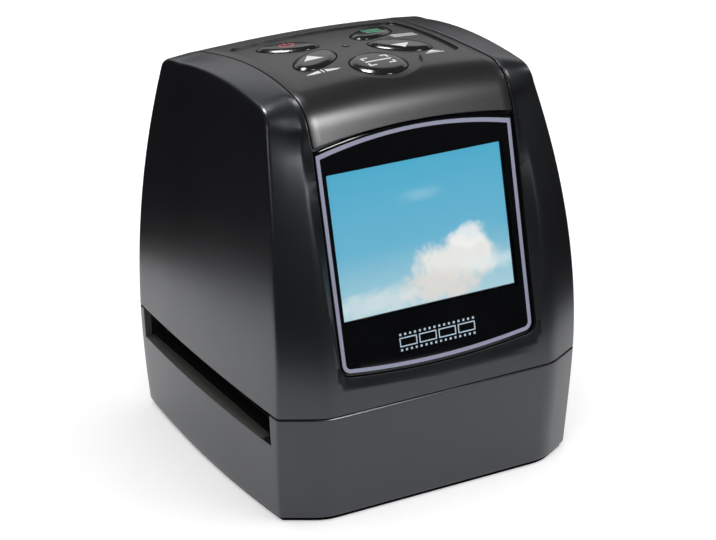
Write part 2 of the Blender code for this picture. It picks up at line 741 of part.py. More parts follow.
def build_top_cover():
    """The cover over the top, whose front end is the brow above the display."""
    strip = path_strip(lambda x: SEAM_GAP - x, lambda x: x - SEAM_GAP, 0.0, COVER_THICK, 6, 1.0)
    cover = piece("top_cover", strip, "cover_plastic")
    lip = []
    for i in range(13):
        share = -1 + i / 6
        lip.append((30.0 * share, LIP_TOP - LIP_DROP * share * share))
    below = [(-30.0, -5.0), (30.0, -5.0)] + list(reversed(lip))
    cut(cover, piece("lip_cut", window_prism(below, -9.0, 9.0), "cover_plastic"))
    back_end = block((-40.0, 20.0, 60.0), (40.0, 60.0, COVER_STARTS_Z + SEAM_GAP))
    cut(cover, piece("back_cut", back_end, "cover_plastic"))

    middle_y = (RECESS_BACK_Y + RECESS_SHOULDER_Y) / 2
    panel = rounded(RECESS_HALF, (RECESS_BACK_Y - RECESS_SHOULDER_Y) / 2, 2.5, 0.0, middle_y)
    for outline in (panel, circle(0.0, RECESS_LOBE_Y, RECESS_LOBE_RADIUS, 24)):
        hollow = piece("hollow", prism(outline, 90.0, 112.0), "cover_plastic")
        combine(hollow, piece("above", over_cover(RECESS_DEPTH), "cover_plastic"), "INTERSECT")
        cut(cover, hollow)
    for x, y, long, short, turn in KEYS.values():
        hole = prism(ellipse(x, y, long + KEY_GAP, short + KEY_GAP, turn), 90.0, 112.0)
        cut(cover, piece("key_hole", hole, "cover_plastic"))
    light_hole = turned([(LIGHT_RADIUS + 0.1, 90.0), (LIGHT_RADIUS + 0.1, 112.0)], 0.0, LIGHT_Y, 12)
    cut(cover, piece("light_hole", light_hole, "cover_plastic"))
    for x, y in BOARD_SCREWS:
        top = cover_z(x, y) - COVER_THICK + 0.6
        boss = piece("boss", turned([(1.9, BOARD_TOP + GAP), (1.9, top)], x, y, 12), "cover_plastic")
        join(cover, boss)
        cut(cover, piece("hole", turned([(0.75, 90.0), (0.75, top - 1.2)], x, y, 10), "cover_plastic"))
    return smooth(cover)


def ellipse(x, y, long, short, turn, count=20):
    """An oval whose long axis is turned anticlockwise from X by an angle in degrees."""
    cosine = math.cos(math.radians(turn))
    sine = math.sin(math.radians(turn))
    points = []
    for i in range(count):
        angle = math.tau * i / count
        a = long * math.cos(angle)
        b = short * math.sin(angle)
        points.append((x + a * cosine - b * sine, y + a * sine + b * cosine))
    return points


def build_key(name, x, y, long, short, turn):
    """A low key with a bevelled edge, a flange that keeps it under the cover and a stem over its switch.

    Each of its levels is how far it reaches past the key's outline, and how deep it lies under the
    cover's face, whose crown it follows.
    """
    under = COVER_THICK + GAP
    levels = [
        (KEY_FLANGE, under + KEY_FLANGE_THICK),
        (KEY_FLANGE, under),
        (0.0, under),
        (0.0, RECESS_DEPTH - KEY_EDGE_RISE),
        (-0.4, RECESS_DEPTH - 0.45),
        (-1.2, RECESS_DEPTH - KEY_RISE),
        (-short * 0.7, RECESS_DEPTH - KEY_RISE - 0.1),
    ]
    rings = []
    for extra, depth in levels:
        ring = ellipse(x, y, long + extra, short + extra, turn)
        rings.append([(px, py, cover_z(px, py) - depth) for px, py in ring])
    key = piece(name, loft(rings), "key_plastic", (x, y, BOARD_TOP))
    low = BOARD_TOP + GAP + SWITCH_HEIGHT + PLUNGER_RISE + 2 * GAP
    stem = piece("stem", turned([(1.6, low), (1.6, cover_z(x, y) - under - 0.2)], x, y, 10), "key_plastic")
    join(key, stem)
    return smooth(key, 40.0)


def build_keypad():
    """The five keys, their switches and the board that carries them."""
    outline = rounded(21.0, 21.0, 1.5, 0.0, -2.5)
    board = piece("key_board", prism(outline, BOARD_TOP - BOARD_THICK, BOARD_TOP), "circuit_board")
    for x, y in BOARD_SCREWS:
        cut(board, piece("hole", turned([(1.0, 90.0), (1.0, 100.0)], x, y, 12), "circuit_board"))
        under = BOARD_TOP - BOARD_THICK - GAP
        profile = [(1.3, under - 1.2), (1.7, under - 0.9), (1.7, under)]
        profile += [(0.6, under), (0.6, under + 5.5), (0.2, under + 6.0)]
        side = "left" if x < 0 else "right"
        smooth(piece(f"key_board_screw_{side}", turned(profile, x, y, 10), "steel"))
    for name, (x, y, long, short, turn) in KEYS.items():
        build_key(name, x, y, long, short, turn)
        low = BOARD_TOP + 0.1
        body = rounded(SWITCH_SIDE / 2, SWITCH_SIDE / 2, 0.6, x, y, 1)
        switch = piece(name.replace("key", "switch"), prism(body, low, low + SWITCH_HEIGHT), "chip_black")
        cut(switch, piece("bore", turned([(1.5, low + 0.8), (1.5, low + 9.0)], x, y, 12), "chip_black"))
        start = low + 0.8 + KEY_TRAVEL + 0.1
        top = low + SWITCH_HEIGHT + PLUNGER_RISE
        plunger = turned([(1.2, start), (1.2, top - 0.2), (0.9, top)], x, y, 10)
        smooth(piece(name.replace("key", "plunger"), plunger, "white_plastic", (x, y, BOARD_TOP)))
    top = cover_z(0.0, LIGHT_Y) - RECESS_DEPTH
    low = BOARD_TOP + 0.1
    profile = [(1.3, low), (1.3, low + 0.9)]
    profile += [(LIGHT_RADIUS, low + 0.9), (LIGHT_RADIUS, top - 0.2), (0.5, top + 0.2)]
    smooth(piece("status_led", turned(profile, 0.0, LIGHT_Y, 14), "clear_plastic"))


def around_panel(margin, corner):
    """The display panel's outline in the pane's plane, grown by a margin."""
    outline = rounded(PANEL_HALF_X + margin, PANEL_HALF_UP + margin, corner)
    return [(x, up + PANEL_MIDDLE) for x, up in outline]


def build_display():
    """The pane, the display panel behind it and the tray that holds the panel."""
    smooth(piece("display_pane", window_prism(pane_outline(), -PANE_THICK, 0.0), "pane_gloss"))
    piece("lcd_panel", window_prism(around_panel(0.0, 1.0), -PANEL_BACK, -PANEL_FRONT), "lcd_glass")
    rim = window_prism(around_panel(TRAY_RIM, 1.5), -TRAY_BACK, -TRAY_FRONT)
    tray = piece("lcd_tray", rim, "inner_plastic")
    seat = window_prism(around_panel(GAP, 1.0), -PANEL_BACK - GAP, 0.0)
    opening = window_prism(around_panel(-10.5, 1.0), -TRAY_BACK - 2.0, 0.0)
    cut(tray, piece("seat", seat, "inner_plastic"), piece("opening", opening, "inner_plastic"))


def build_film_path():
    """The guides that hold the film carrier flat, with the detent that stops it at each frame."""
    gate = rounded(GATE_X / 2, GATE_Y / 2, 1.0)
    plate = block((-35.5, -34.5, SLOT_FLOOR - 1.6), (35.5, 34.5, SLOT_FLOOR))
    lower = piece("lower_film_guide", plate, "inner_plastic")
    for near, far in ((-34.9, -33.5), (33.5, 34.9)):
        rail = block((-35.5, near, SLOT_FLOOR - 1.0), (35.5, far, GUIDE_UNDER - GAP))
        join(lower, piece("rail", rail, "inner_plastic"))
    cut(lower, piece("gate", prism(gate, 10.0, 30.0), "inner_plastic"))

    plate = block((-35.5, -34.5, GUIDE_UNDER), (35.5, 34.5, GUIDE_UNDER + 1.6))
    upper = piece("upper_film_guide", plate, "inner_plastic")
    for x, y in BOARD_SCREW_POSTS + BOARD_PIN_POSTS:
        post = turned([(2.4, GUIDE_UNDER + 1.0), (2.1, MAIN_BOARD_Z - GAP)], x, y, 10)
        join(upper, piece("post", post, "inner_plastic"))
    for x, y in BOARD_SCREW_POSTS:
        cut(upper, piece("hole", turned([(0.8, 55.0), (0.8, 80.0)], x, y, 10), "inner_plastic"))
    for x, y in BOARD_PIN_POSTS:
        pin = turned([(1.0, 60.0), (1.0, MAIN_BOARD_Z + 1.8), (0.6, MAIN_BOARD_Z + 2.4)], x, y, 10)
        join(upper, piece("pin", pin, "inner_plastic"))
    tube = turned([(2.8, GUIDE_UNDER + 1.0), (2.8, 36.0)], 0.0, DETENT_Y)
    join(upper, piece("detent_tube", tube, "inner_plastic"))
    rest = GUIDE_UNDER + 0.6
    bore = turned([(1.55, 20.0), (1.55, rest), (2.0, rest), (2.0, 50.0)], 0.0, DETENT_Y)
    cut(upper, piece("bore", bore, "inner_plastic"))
    cut(upper, piece("gate", prism(gate, 20.0, 40.0), "inner_plastic"))

    profile = [(0.5, GUIDE_UNDER - 0.9), (1.25, GUIDE_UNDER - 0.2), (1.25, rest + 0.1)]
    profile += [(1.7, rest + 0.1), (1.7, rest + 0.8), (0.7, rest + 0.8), (0.7, rest + 2.6)]
    smooth(piece("detent_pin", turned(profile, 0.0, DETENT_Y), "steel", (0.0, DETENT_Y, GUIDE_UNDER)))
    build_detent_spring(rest + 0.95, 34.6)
    cap = turned([(1.75, 34.9), (1.75, 36.2), (2.8, 36.3), (2.8, 37.0)], 0.0, DETENT_Y)
    smooth(piece("detent_cap", cap, "inner_plastic"))


def build_detent_spring(low, high, turns=5.5, radius=1.25, wire=0.2):
    """The small compression spring over the detent pin, as one unbroken coil."""
    count = round(turns * 8)
    curve = bpy.data.curves.new("detent_spring", "CURVE")
    curve.dimensions = "3D"
    curve.bevel_depth = wire * MM
    curve.bevel_resolution = 1
    curve.use_fill_caps = True
    spline = curve.splines.new("POLY")
    spline.points.add(count)
    for i, point in enumerate(spline.points):
        angle = math.tau * turns * i / count
        z = low + wire + (high - low - 2 * wire) * i / count
        point.co = (radius * math.cos(angle) * MM, radius * math.sin(angle) * MM, (z - low) * MM, 1.0)
    spring = bpy.data.objects.new("detent_spring", curve)
    curve.materials.append(material("steel"))
    spring.location = (0.0, DETENT_Y * MM, low * MM)
    bpy.context.scene.collection.objects.link(spring)


def build_light():
    """The lamp under the film: a box with two lights on a board and a plate that spreads them."""
    walls = block((-24.0, -18.0, LIGHT_BOX_LOW), (24.0, 18.0, SLOT_FLOOR - 1.9))
    box = piece("light_box", walls, "white_plastic")
    cut(box, piece("hollow", block((-22.4, -16.4, LIGHT_BOX_LOW + 1.2), (22.4, 16.4, 15.6)), "white_plastic"))
    cut(box, piece("seat", block((-23.0, -17.0, 15.3), (23.0, 17.0, 30.0)), "white_plastic"))
    board = LIGHT_BOX_LOW + 1.3
    piece("light_board", block((-22.0, -16.0, board), (22.0, 16.0, board + 1.4)), "circuit_board")
    for i, x in enumerate((-11.0, 11.0)):
        chip = rounded(1.75, 1.4, 0.3, x, 0.0, 1)
        piece(f"light_led_{i + 1}", prism(chip, board + 1.5, board + 2.6), "white_plastic")
    piece("diffuser_plate", block((-22.7, -16.7, 15.6), (22.7, 16.7, 18.1)), "clear_plastic")


def tapered(low, high, radius):
    """A rounded block that narrows between two levels, each a half length, a half width and a height."""
    levels = (low, high)
    return loft([[(x, y, z) for x, y in rounded(half_x, half_y, radius)] for half_x, half_y, z in levels])


def build_camera():
    """The optics over the film gate, from the hood up to the sensor."""
    floor = GUIDE_UNDER + 1.6 + GAP
    hood_top = 50.0
    outer = tapered((21.0, 15.0, floor), (11.0, 10.0, hood_top), 2.0)
    inner = tapered((20.1, 14.05, floor - 0.9), (9.1, 8.2, hood_top + 0.9), 1.5)
    hood = piece("optical_hood", outer, "inner_plastic")
    cut(hood, piece("hollow", inner, "inner_plastic"))
    low = hood_top + GAP
    holder = piece("lens_holder", prism(rounded(10.5, 9.8, 1.5), low, LENS_TOP), "inner_plastic")
    cut(holder, piece("bore", turned([(5.3, 40.0), (5.3, 58.5)], 0.0, 0.0, 18), "inner_plastic"))
    cut(holder, piece("light_way", turned([(4.0, 57.0), (4.0, 60.0)], 0.0, 0.0, 18), "inner_plastic"))
    cut(holder, piece("sensor_room", prism(rounded(6.5, 6.5, 0.6), 59.2, 70.0), "inner_plastic"))
    profile = [(5.0, low + 0.4), (5.0, 58.1), (3.6, 58.1)]
    barrel = piece("lens_barrel", turned(profile, 0.0, 0.0, 18), "inner_plastic")
    cut(barrel, piece("light_way", turned([(2.6, 40.0), (2.6, 60.0)], 0.0, 0.0, 18), "inner_plastic"))
    cut(barrel, piece("glass_seat", turned([(4.1, 40.0), (4.1, low + 2.8)], 0.0, 0.0, 18), "inner_plastic"))
    profile = [(1.2, low + 0.35), (2.6, low + 0.55), (3.8, low + 1.0), (3.8, low + 2.2), (1.5, low + 2.5)]
    smooth(piece("lens_glass", turned(profile, 0.0, 0.0, 18), "lens_glass"))
    smooth(holder)
    smooth(barrel)
    board = LENS_TOP + 0.1
    piece("sensor_board", prism(rounded(12.0, 11.0, 1.0), board, board + 1.4), "circuit_board")
    piece("image_sensor", prism(rounded(5.5, 5.5, 0.4), board - 1.7, board - 0.1), "chip_black")


def build_main_board():
    """The main board with its processor and the three sockets along its back edge."""
    low = MAIN_BOARD_Z
    top = low + 1.5
    board = piece("main_board", prism(rounded(32.0, 27.0, 1.5, 0.0, 6.5), low, top), "circuit_board")
    for x, y in BOARD_SCREW_POSTS + BOARD_PIN_POSTS:
        cut(board, piece("hole", turned([(1.3, 60.0), (1.3, 80.0)], x, y, 12), "circuit_board"))
    for i, (x, y) in enumerate(BOARD_SCREW_POSTS):
        head = top + GAP
        profile = [(0.3, head - 7.5), (0.65, head - 7.0), (0.65, head)]
        profile += [(1.8, head), (1.8, head + 0.9), (1.4, head + 1.2)]
        smooth(piece(f"board_screw_{i + 1}", turned(profile, x, y, 10), "steel"))
    piece("image_processor", prism(rounded(7.0, 7.0, 0.4, -10.0, 2.0, 1), top + 0.1, top + 1.3), "chip_black")
    back = back_y(low)
    case = block((CARD_X - 13.0, 10.0, top + 0.1), (CARD_X + 13.0, back - 2.4, top + 3.3))
    socket = piece("card_socket", case, "steel")
    slot = block((CARD_X - 12.2, 12.0, top + 0.5), (CARD_X + 12.2, 50.0, top + 2.9))
    cut(socket, piece("slot", slot, "steel"))
    case = block((USB_X - 4.0, 26.0, top + 0.1), (USB_X + 4.0, back - 1.2, top + 4.1))
    socket = piece("usb_socket", case, "steel")
    slot = block((USB_X - 3.5, 28.0, top + 0.6), (USB_X + 3.5, 50.0, top + 3.6))
    cut(socket, piece("slot", slot, "steel"))
    tongue = block((USB_X - 2.6, 27.5, top + 1.7), (USB_X + 2.6, back - 2.2, top + 2.4))
    join(socket, piece("tongue", tongue, "steel"))
    case = block((TV_X - 3.6, 24.0, top + 0.1), (TV_X + 3.6, back - 4.4, top + 6.4))
    jack = piece("tv_jack", case, "chip_black")
    join(jack, piece("nose", lying([(3.0, back - 6.0), (3.0, back - 1.4)], TV_X, TV_Z), "chip_black"))
    cut(jack, piece("hole", lying([(1.75, 26.0), (1.75, 50.0)], TV_X, TV_Z), "chip_black"))
    smooth(jack)


def ribbon(name, points, half_width, x):
    """A flat cable through points given as depth and height, of even thickness."""
    rings = []
    for i, point in enumerate(points):
        before = Vector(points[max(i - 1, 0)])
        after = Vector(points[min(i + 1, len(points) - 1)])
        run = (after - before).normalized()
        side = Vector((-run.y, run.x)) * RIBBON_THICK / 2
        ring = []
        for face, ends in ((side, (-1, 1)), (-side, (1, -1))):
            place = Vector(point) + face
            ring += [(x + end * half_width, place.x, place.y) for end in ends]
        rings.append(ring)
    return smooth(piece(name, loft(rings), "ribbon"))


def build_cables():
    """The flat cables from the display, the keys and the lamp to the main board."""
    top = MAIN_BOARD_Z + 1.5
    start = on_window(0.0, 0.0, -PANEL_BACK - GAP)
    path = [(start[1], start[2]), (start[1] + 6.0, start[2] - 1.0), (-23.0, top + 3.0), (-20.0, top + 8.0)]
    path += [(-15.0, top + 7.0), (-15.0, top + 0.3)]
    ribbon("display_cable", bend(path), 8.0, 0.0)
    under = BOARD_TOP - BOARD_THICK - GAP
    path = [(12.0, under), (12.0, under - 9.0), (5.0, 84.0), (5.0, 78.0), (9.0, top + 6.0), (9.0, top + 0.3)]
    ribbon("key_cable", bend(path), 3.5, 16.0)
    low = MAIN_BOARD_Z - GAP
    path = [(18.5, 8.0), (30.0, 7.0), (36.0, 7.5), (36.0, 20.0), (36.0, 46.0)]
    path += [(35.5, low - 8.0), (31.0, low - 6.0), (31.0, low)]
    ribbon("lamp_cable", bend(path), 2.5, -8.0)


def bend(points, steps=3):
    """The points with each inner one turned into a round bend."""
    bent = [points[0]]
    for before, here, after in zip(points, points[1:], points[2:]):
        start = tuple((a + b) / 2 for a, b in zip(before, here))
        end = tuple((a + b) / 2 for a, b in zip(here, after))
        bent.append(start)
        bent += bezier(start, here, end, steps)
    bent.append(tuple((a + b) / 2 for a, b in zip(points[-2], points[-1])))
    bent.append(points[-1])
    return bent


build_upper_shell()
build_base_shell()
build_base_plate()
build_top_cover()
build_keypad()
build_display()
build_film_path()
build_light()
build_camera()
build_main_board()
build_cables()
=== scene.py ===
"""The looks of a desktop film negative scanner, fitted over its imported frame.

Sizes are millimetres in this script and become metres when a mesh is made. X runs across the scanner, the
display faces -Y and +Z is up. The sections follow the scanner as it is put together, from the bottom up.
"""

import math

import bmesh
import bpy
from mathutils import Matrix, Vector


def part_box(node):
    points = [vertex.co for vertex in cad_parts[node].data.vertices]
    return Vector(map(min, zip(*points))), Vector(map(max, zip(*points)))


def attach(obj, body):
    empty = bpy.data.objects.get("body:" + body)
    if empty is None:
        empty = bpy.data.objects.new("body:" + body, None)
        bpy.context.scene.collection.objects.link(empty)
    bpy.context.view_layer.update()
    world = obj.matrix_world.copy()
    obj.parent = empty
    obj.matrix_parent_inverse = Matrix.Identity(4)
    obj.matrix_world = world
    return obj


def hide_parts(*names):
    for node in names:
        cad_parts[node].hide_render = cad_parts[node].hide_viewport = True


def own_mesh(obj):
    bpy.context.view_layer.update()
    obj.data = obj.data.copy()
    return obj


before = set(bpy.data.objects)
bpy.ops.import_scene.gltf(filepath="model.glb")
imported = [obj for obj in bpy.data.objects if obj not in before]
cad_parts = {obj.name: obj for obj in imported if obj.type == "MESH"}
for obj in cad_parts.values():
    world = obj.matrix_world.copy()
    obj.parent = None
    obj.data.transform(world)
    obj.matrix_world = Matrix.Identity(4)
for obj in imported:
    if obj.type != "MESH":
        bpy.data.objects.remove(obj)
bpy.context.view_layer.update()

# Camera
# It stands where the photograph was taken from, worked out from the scanner's own edges.
# Turns are about the scanner, and the roll is the slight tilt of the picture.

MM = 0.001
PHOTO_WIDTH = 716
PHOTO_FOCAL = 2282.3
CAMERA_PLACE = Vector((-250.6, -483.3, 266.7))
CAMERA_AZIMUTH = math.radians(-27.55)
CAMERA_ELEVATION = math.radians(22.18)
CAMERA_ROLL = math.radians(-1.52)


def new_object(name, data):
    made = bpy.data.objects.new(name, data)
    bpy.context.scene.collection.objects.link(made)
    return made


lens = bpy.data.cameras.new("photo_camera")
lens.sensor_width = 36.0
lens.lens = lens.sensor_width * PHOTO_FOCAL / PHOTO_WIDTH
lens.clip_start = 0.01
lens.clip_end = 100.0
camera = new_object("photo_camera", lens)
away = Vector(
    (
        math.sin(CAMERA_AZIMUTH) * math.cos(CAMERA_ELEVATION),
        -math.cos(CAMERA_AZIMUTH) * math.cos(CAMERA_ELEVATION),
        math.sin(CAMERA_ELEVATION),
    )
)
level = Vector((0.0, 0.0, 1.0)).cross(away).normalized()
upright = away.cross(level)
camera_x = level * math.cos(CAMERA_ROLL) + upright * math.sin(CAMERA_ROLL)
camera_y = upright * math.cos(CAMERA_ROLL) - level * math.sin(CAMERA_ROLL)
camera_turn = Matrix((camera_x, camera_y, away)).transposed().to_4x4()
camera.matrix_world = Matrix.Translation(CAMERA_PLACE * MM) @ camera_turn
bpy.context.scene.camera = camera

# Base plate
# A flat moulding in fine-grained black plastic that closes the bottom and holds the feet and screws.
# The CAD plate has its true shape, so it keeps its mesh and takes this finish.


def fresh(name):
    """A new material, with its node tree and its shader."""
    look = bpy.data.materials.new(name)
    look.use_nodes = True
    return look, look.node_tree, look.node_tree.nodes["Principled BSDF"]


def feed(tree, node, inputs):
    """Sets inputs of a node, each to a value or to an output of another node."""
    for socket, value in inputs.items():
        if isinstance(value, bpy.types.NodeSocket):
            tree.links.new(value, node.inputs[socket])
        else:
            node.inputs[socket].default_value = value


def add(tree, kind, output, inputs, **settings):
    """Adds a node to the tree and gives back its named output."""
    node = tree.nodes.new(kind)
    for setting, value in settings.items():
        setattr(node, setting, value)
    feed(tree, node, inputs)
    return node.outputs[output]


def place_on(tree):
    return add(tree, "ShaderNodeTexCoord", "Object", {})


def noise(tree, place, scale, detail=2.0, **more):
    inputs = {"Vector": place, "Scale": scale, "Detail": detail, **more}
    return add(tree, "ShaderNodeTexNoise", "Fac", inputs)


def ranged(tree, value, low, high, start=0.0, end=1.0):
    """Stretches the values from start to end over the range from low to high."""
    inputs = {"Value": value, "From Min": start, "From Max": end, "To Min": low, "To Max": high}
    return add(tree, "ShaderNodeMapRange", "Result", inputs)


def blend(tree, share, first, second):
    """Goes from the first colour to the second."""
    inputs = {"Factor": share, "A": first, "B": second}
    return add(tree, "ShaderNodeMix", "Result", inputs, data_type="RGBA")


def bumps(tree, height, depth, strength, **more):
    inputs = {"Height": height, "Distance": depth * MM, "Strength": strength, **more}
    return add(tree, "ShaderNodeBump", "Normal", inputs)


def shade(colour, factor=1.0):
    """The colour times a factor, and opaque."""
    return (*[c * factor for c in colour], 1.0)


def moulded(name, colour, roughness, grain, relief, wear=0.03, shine=0.5):
    """Moulded plastic: an even grain, faint flow marks, and edges that shine a little from handling.

    grain is the size of the texture's bumps and relief is their height, in millimetres.
    """
    look, tree, shader = fresh(name)
    place = place_on(tree)
    flow = noise(tree, place, 45.0, 3.0)
    tint = blend(tree, flow, shade(colour, 0.88), shade(colour, 1.14))
    rounding = add(tree, "ShaderNodeBevel", "Normal", {"Radius": 0.28 * MM}, samples=4)
    flat = add(tree, "ShaderNodeNewGeometry", "Normal", {})
    facing = add(tree, "ShaderNodeVectorMath", "Value", {0: rounding, 1: flat}, operation="DOT_PRODUCT")
    edge = ranged(tree, facing, 0.0, 1.0, 0.97, 0.80)
    pits = noise(tree, place, 1.0 / (grain * MM))
    inputs = {
        "Specular IOR Level": shine,
        "Base Color": blend(tree, edge, tint, shade([c + wear for c in colour])),
        "Roughness": ranged(tree, flow, roughness - 0.04, roughness + 0.05),
        "Normal": bumps(tree, pits, relief, 0.5, Normal=rounding),
    }
    feed(tree, shader, inputs)
    return look


def finish_nodes(look, *names):
    """Gives CAD nodes that keep their own mesh this finish."""
    for name in names:
        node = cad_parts[name]
        node.data.materials.clear()
        node.data.materials.append(look)


inner_black = moulded("inner_black", (0.018, 0.018, 0.019), 0.55, 0.4, 0.02)
finish_nodes(inner_black, "base_plate")

# Feet
# Four soft rubber pads pressed into the plate's round seats, with a sole that rounds up at its edge.
# One pad is drawn and repeated on the four seats.

PAD_SIDES = 40
PAD_INSET = 0.05
PAD_EDGE = 0.5


def points_object(name, places):
    """A bare mesh of points, for a node tree to put its shapes on."""
    mesh = bpy.data.meshes.new(name)
    mesh.from_pydata([tuple(c * MM for c in place) for place in places], [], [])
    return new_object(name, mesh)


def tree_of(name, sizes):
    """A geometry tree with named sizes as its inputs, the outputs of its input node, and its output node."""
    tree = bpy.data.node_groups.new(name, "GeometryNodeTree")
    tree.interface.new_socket("Geometry", in_out="INPUT", socket_type="NodeSocketGeometry")
    for size in sizes:
        tree.interface.new_socket(size, in_out="INPUT", socket_type="NodeSocketFloat")
    tree.interface.new_socket("Geometry", in_out="OUTPUT", socket_type="NodeSocketGeometry")
    return tree, tree.nodes.new("NodeGroupInput").outputs, tree.nodes.new("NodeGroupOutput")


def settled(obj):
    """Keeps what the object's modifiers make as its own mesh."""
    bpy.context.view_layer.update()
    graph = bpy.context.evaluated_depsgraph_get()
    result = bpy.data.meshes.new_from_object(obj.evaluated_get(graph))
    obj.modifiers.clear()
    obj.data = result
    return obj


def grown_mesh(holder, tree, sizes):
    """Runs the tree on the object and keeps the result."""
    modifier = holder.modifiers.new(tree.name, "NODES")
    modifier.node_group = tree
    for item in tree.interface.items_tree:
        if item.in_out == "INPUT" and item.name in sizes:
            modifier[item.identifier] = sizes[item.name] * MM
    return settled(holder)


def repeated(tree, given, out, shape, look, turn=(0.0, 0.0, 0.0)):
    """Ends a tree: the shape stands on every point, turned like this, as one mesh in this finish."""
    inputs = {"Points": given["Geometry"], "Instance": shape, "Rotation": turn}
    placed = add(tree, "GeometryNodeInstanceOnPoints", "Instances", inputs)
    real = add(tree, "GeometryNodeRealizeInstances", "Geometry", {"Geometry": placed})
    finish = add(tree, "GeometryNodeSetMaterial", "Geometry", {"Geometry": real, "Material": look})
    feed(tree, out, {"Geometry": finish})
    return tree


def maths(tree, operation, *values):
    return add(tree, "ShaderNodeMath", "Value", dict(enumerate(values)), operation=operation)


def raised(tree, shape, height):
    """The shape moved up."""
    up = add(tree, "ShaderNodeCombineXYZ", "Vector", {"Z": height})
    return add(tree, "GeometryNodeTransform", "Geometry", {"Geometry": shape, "Translation": up})


def pad_tree(look):
    """A pad on every point: a short cylinder whose sole rises to a rounded edge."""
    tree, given, out = tree_of("rubber_pad", ("Radius", "Height", "Edge"))
    inputs = {"Vertices": PAD_SIDES, "Side Segments": 3, "Fill Segments": 4}
    inputs.update({"Radius": given["Radius"], "Depth": given["Height"]})
    body = add(tree, "GeometryNodeMeshCylinder", "Mesh", inputs)
    pad = raised(tree, body, maths(tree, "MULTIPLY", given["Height"], 0.5))
    place = add(tree, "GeometryNodeInputPosition", "Position", {})
    height = add(tree, "ShaderNodeSeparateXYZ", "Z", {"Vector": place})
    sole = add(tree, "FunctionNodeCompare", "Result", {"A": height, "B": 0.0001}, operation="LESS_THAN")
    reach = add(tree, "ShaderNodeVectorMath", "Value", {0: place}, operation="LENGTH")
    share = maths(tree, "DIVIDE", reach, given["Radius"])
    rise = maths(tree, "MULTIPLY", maths(tree, "POWER", share, 6.0), given["Edge"])
    moved = add(tree, "ShaderNodeCombineXYZ", "Vector", {"Z": rise})
    inputs = {"Geometry": pad, "Selection": sole, "Offset": moved}
    shape = add(tree, "GeometryNodeSetPosition", "Geometry", inputs)
    return repeated(tree, given, out, shape, look)


def smoothed(obj, angle=32.0):
    """Shades round faces smooth and keeps edges over this angle sharp."""
    obj.data.shade_smooth()
    obj.data.set_sharp_from_angle(angle=math.radians(angle))
    return obj


pad_rubber = moulded("pad_rubber", (0.022, 0.022, 0.023), 0.82, 0.3, 0.03)
pad_low, pad_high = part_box("foot_1")
pad_names = [f"foot_{i + 1}" for i in range(4)]
pad_places = [sum(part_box(name), Vector()) / 2 / MM for name in pad_names]
pads = points_object("rubber_feet", [(place.x, place.y, 0.0) for place in pad_places])
pad_radius = (pad_high.x - pad_low.x) / 2 / MM - PAD_INSET
pad_sizes = {"Radius": pad_radius, "Height": pad_high.z / MM, "Edge": PAD_EDGE}
smoothed(grown_mesh(pads, pad_tree(pad_rubber), pad_sizes))
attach(pads, "housing")
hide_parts(*pad_names)

# Casing screws
# Four black-zinc steel screws that go up through the plate and the base shell into the upper shell.
# Each has a round head with a cross cut in it, and the four stand on the CAD screws' places.

SCREW_HEAD = 1.9
SCREW_HEAD_HEIGHT = 1.2
SCREW_HEAD_LOW = 0.3
SCREW_TAPER = 0.4
SCREW_SHANK = 0.9
SHANK_START = 0.9
SHANK_SHORTER = 1.6
CROSS_WIDTH = 0.45
CROSS_LENGTH = 2.2


def varied(tree, pattern, colours, roughness, depth, strength):
    """Colour, roughness and relief that all follow one pattern."""
    return {
        "Base Color": blend(tree, pattern, *colours),
        "Roughness": ranged(tree, pattern, *roughness),
        "Normal": bumps(tree, pattern, depth, strength),
    }


def metal(name, colour, roughness, scratch):
    """Bare or plated metal: brushed streaks across it and a roughness that varies with them."""
    look, tree, shader = fresh(name)
    inputs = {"Vector": place_on(tree), "Scale": (300.0, 2500.0, 2500.0)}
    streaks = noise(tree, add(tree, "ShaderNodeMapping", "Vector", inputs), 1.0)
    colours = (shade(colour, 0.8), shade(colour))
    dull = (roughness - 0.08, roughness + 0.1)
    feed(tree, shader, {"Metallic": 1.0, **varied(tree, streaks, colours, dull, scratch, 0.4)})
    return look


def screw_tree(look):
    """A screw on every point, head down: a shank, a tapered head and a cross cut in it."""
    tree, given, out = tree_of("cross_screw", ("Head height", "Shank", "Length"))
    inputs = {"Vertices": 32, "Side Segments": 2, "Depth": given["Head height"]}
    inputs.update({"Radius Top": SCREW_HEAD * MM, "Radius Bottom": (SCREW_HEAD - SCREW_TAPER) * MM})
    head = add(tree, "GeometryNodeMeshCone", "Mesh", inputs)
    inputs = {"Vertices": 24, "Radius": given["Shank"], "Depth": given["Length"]}
    shank = add(tree, "GeometryNodeMeshCylinder", "Mesh", inputs)
    middle = maths(tree, "MULTIPLY_ADD", given["Length"], 0.5, SHANK_START * MM)
    whole = add(
        tree, "GeometryNodeMeshBoolean", "Mesh", {"Mesh 2": head}, operation="UNION", solver="MANIFOLD"
    )
    feed(tree, whole.node, {"Mesh 2": raised(tree, shank, middle)})
    cut = add(
        tree, "GeometryNodeMeshBoolean", "Mesh", {"Mesh 1": whole}, operation="DIFFERENCE", solver="MANIFOLD"
    )
    for size in ((CROSS_LENGTH, CROSS_WIDTH, 1.0), (CROSS_WIDTH, CROSS_LENGTH, 1.0)):
        arm = add(tree, "GeometryNodeMeshCube", "Mesh", {"Size": [side * MM for side in size]})
        feed(tree, cut.node, {"Mesh 2": arm})
    return repeated(tree, given, out, cut, look)


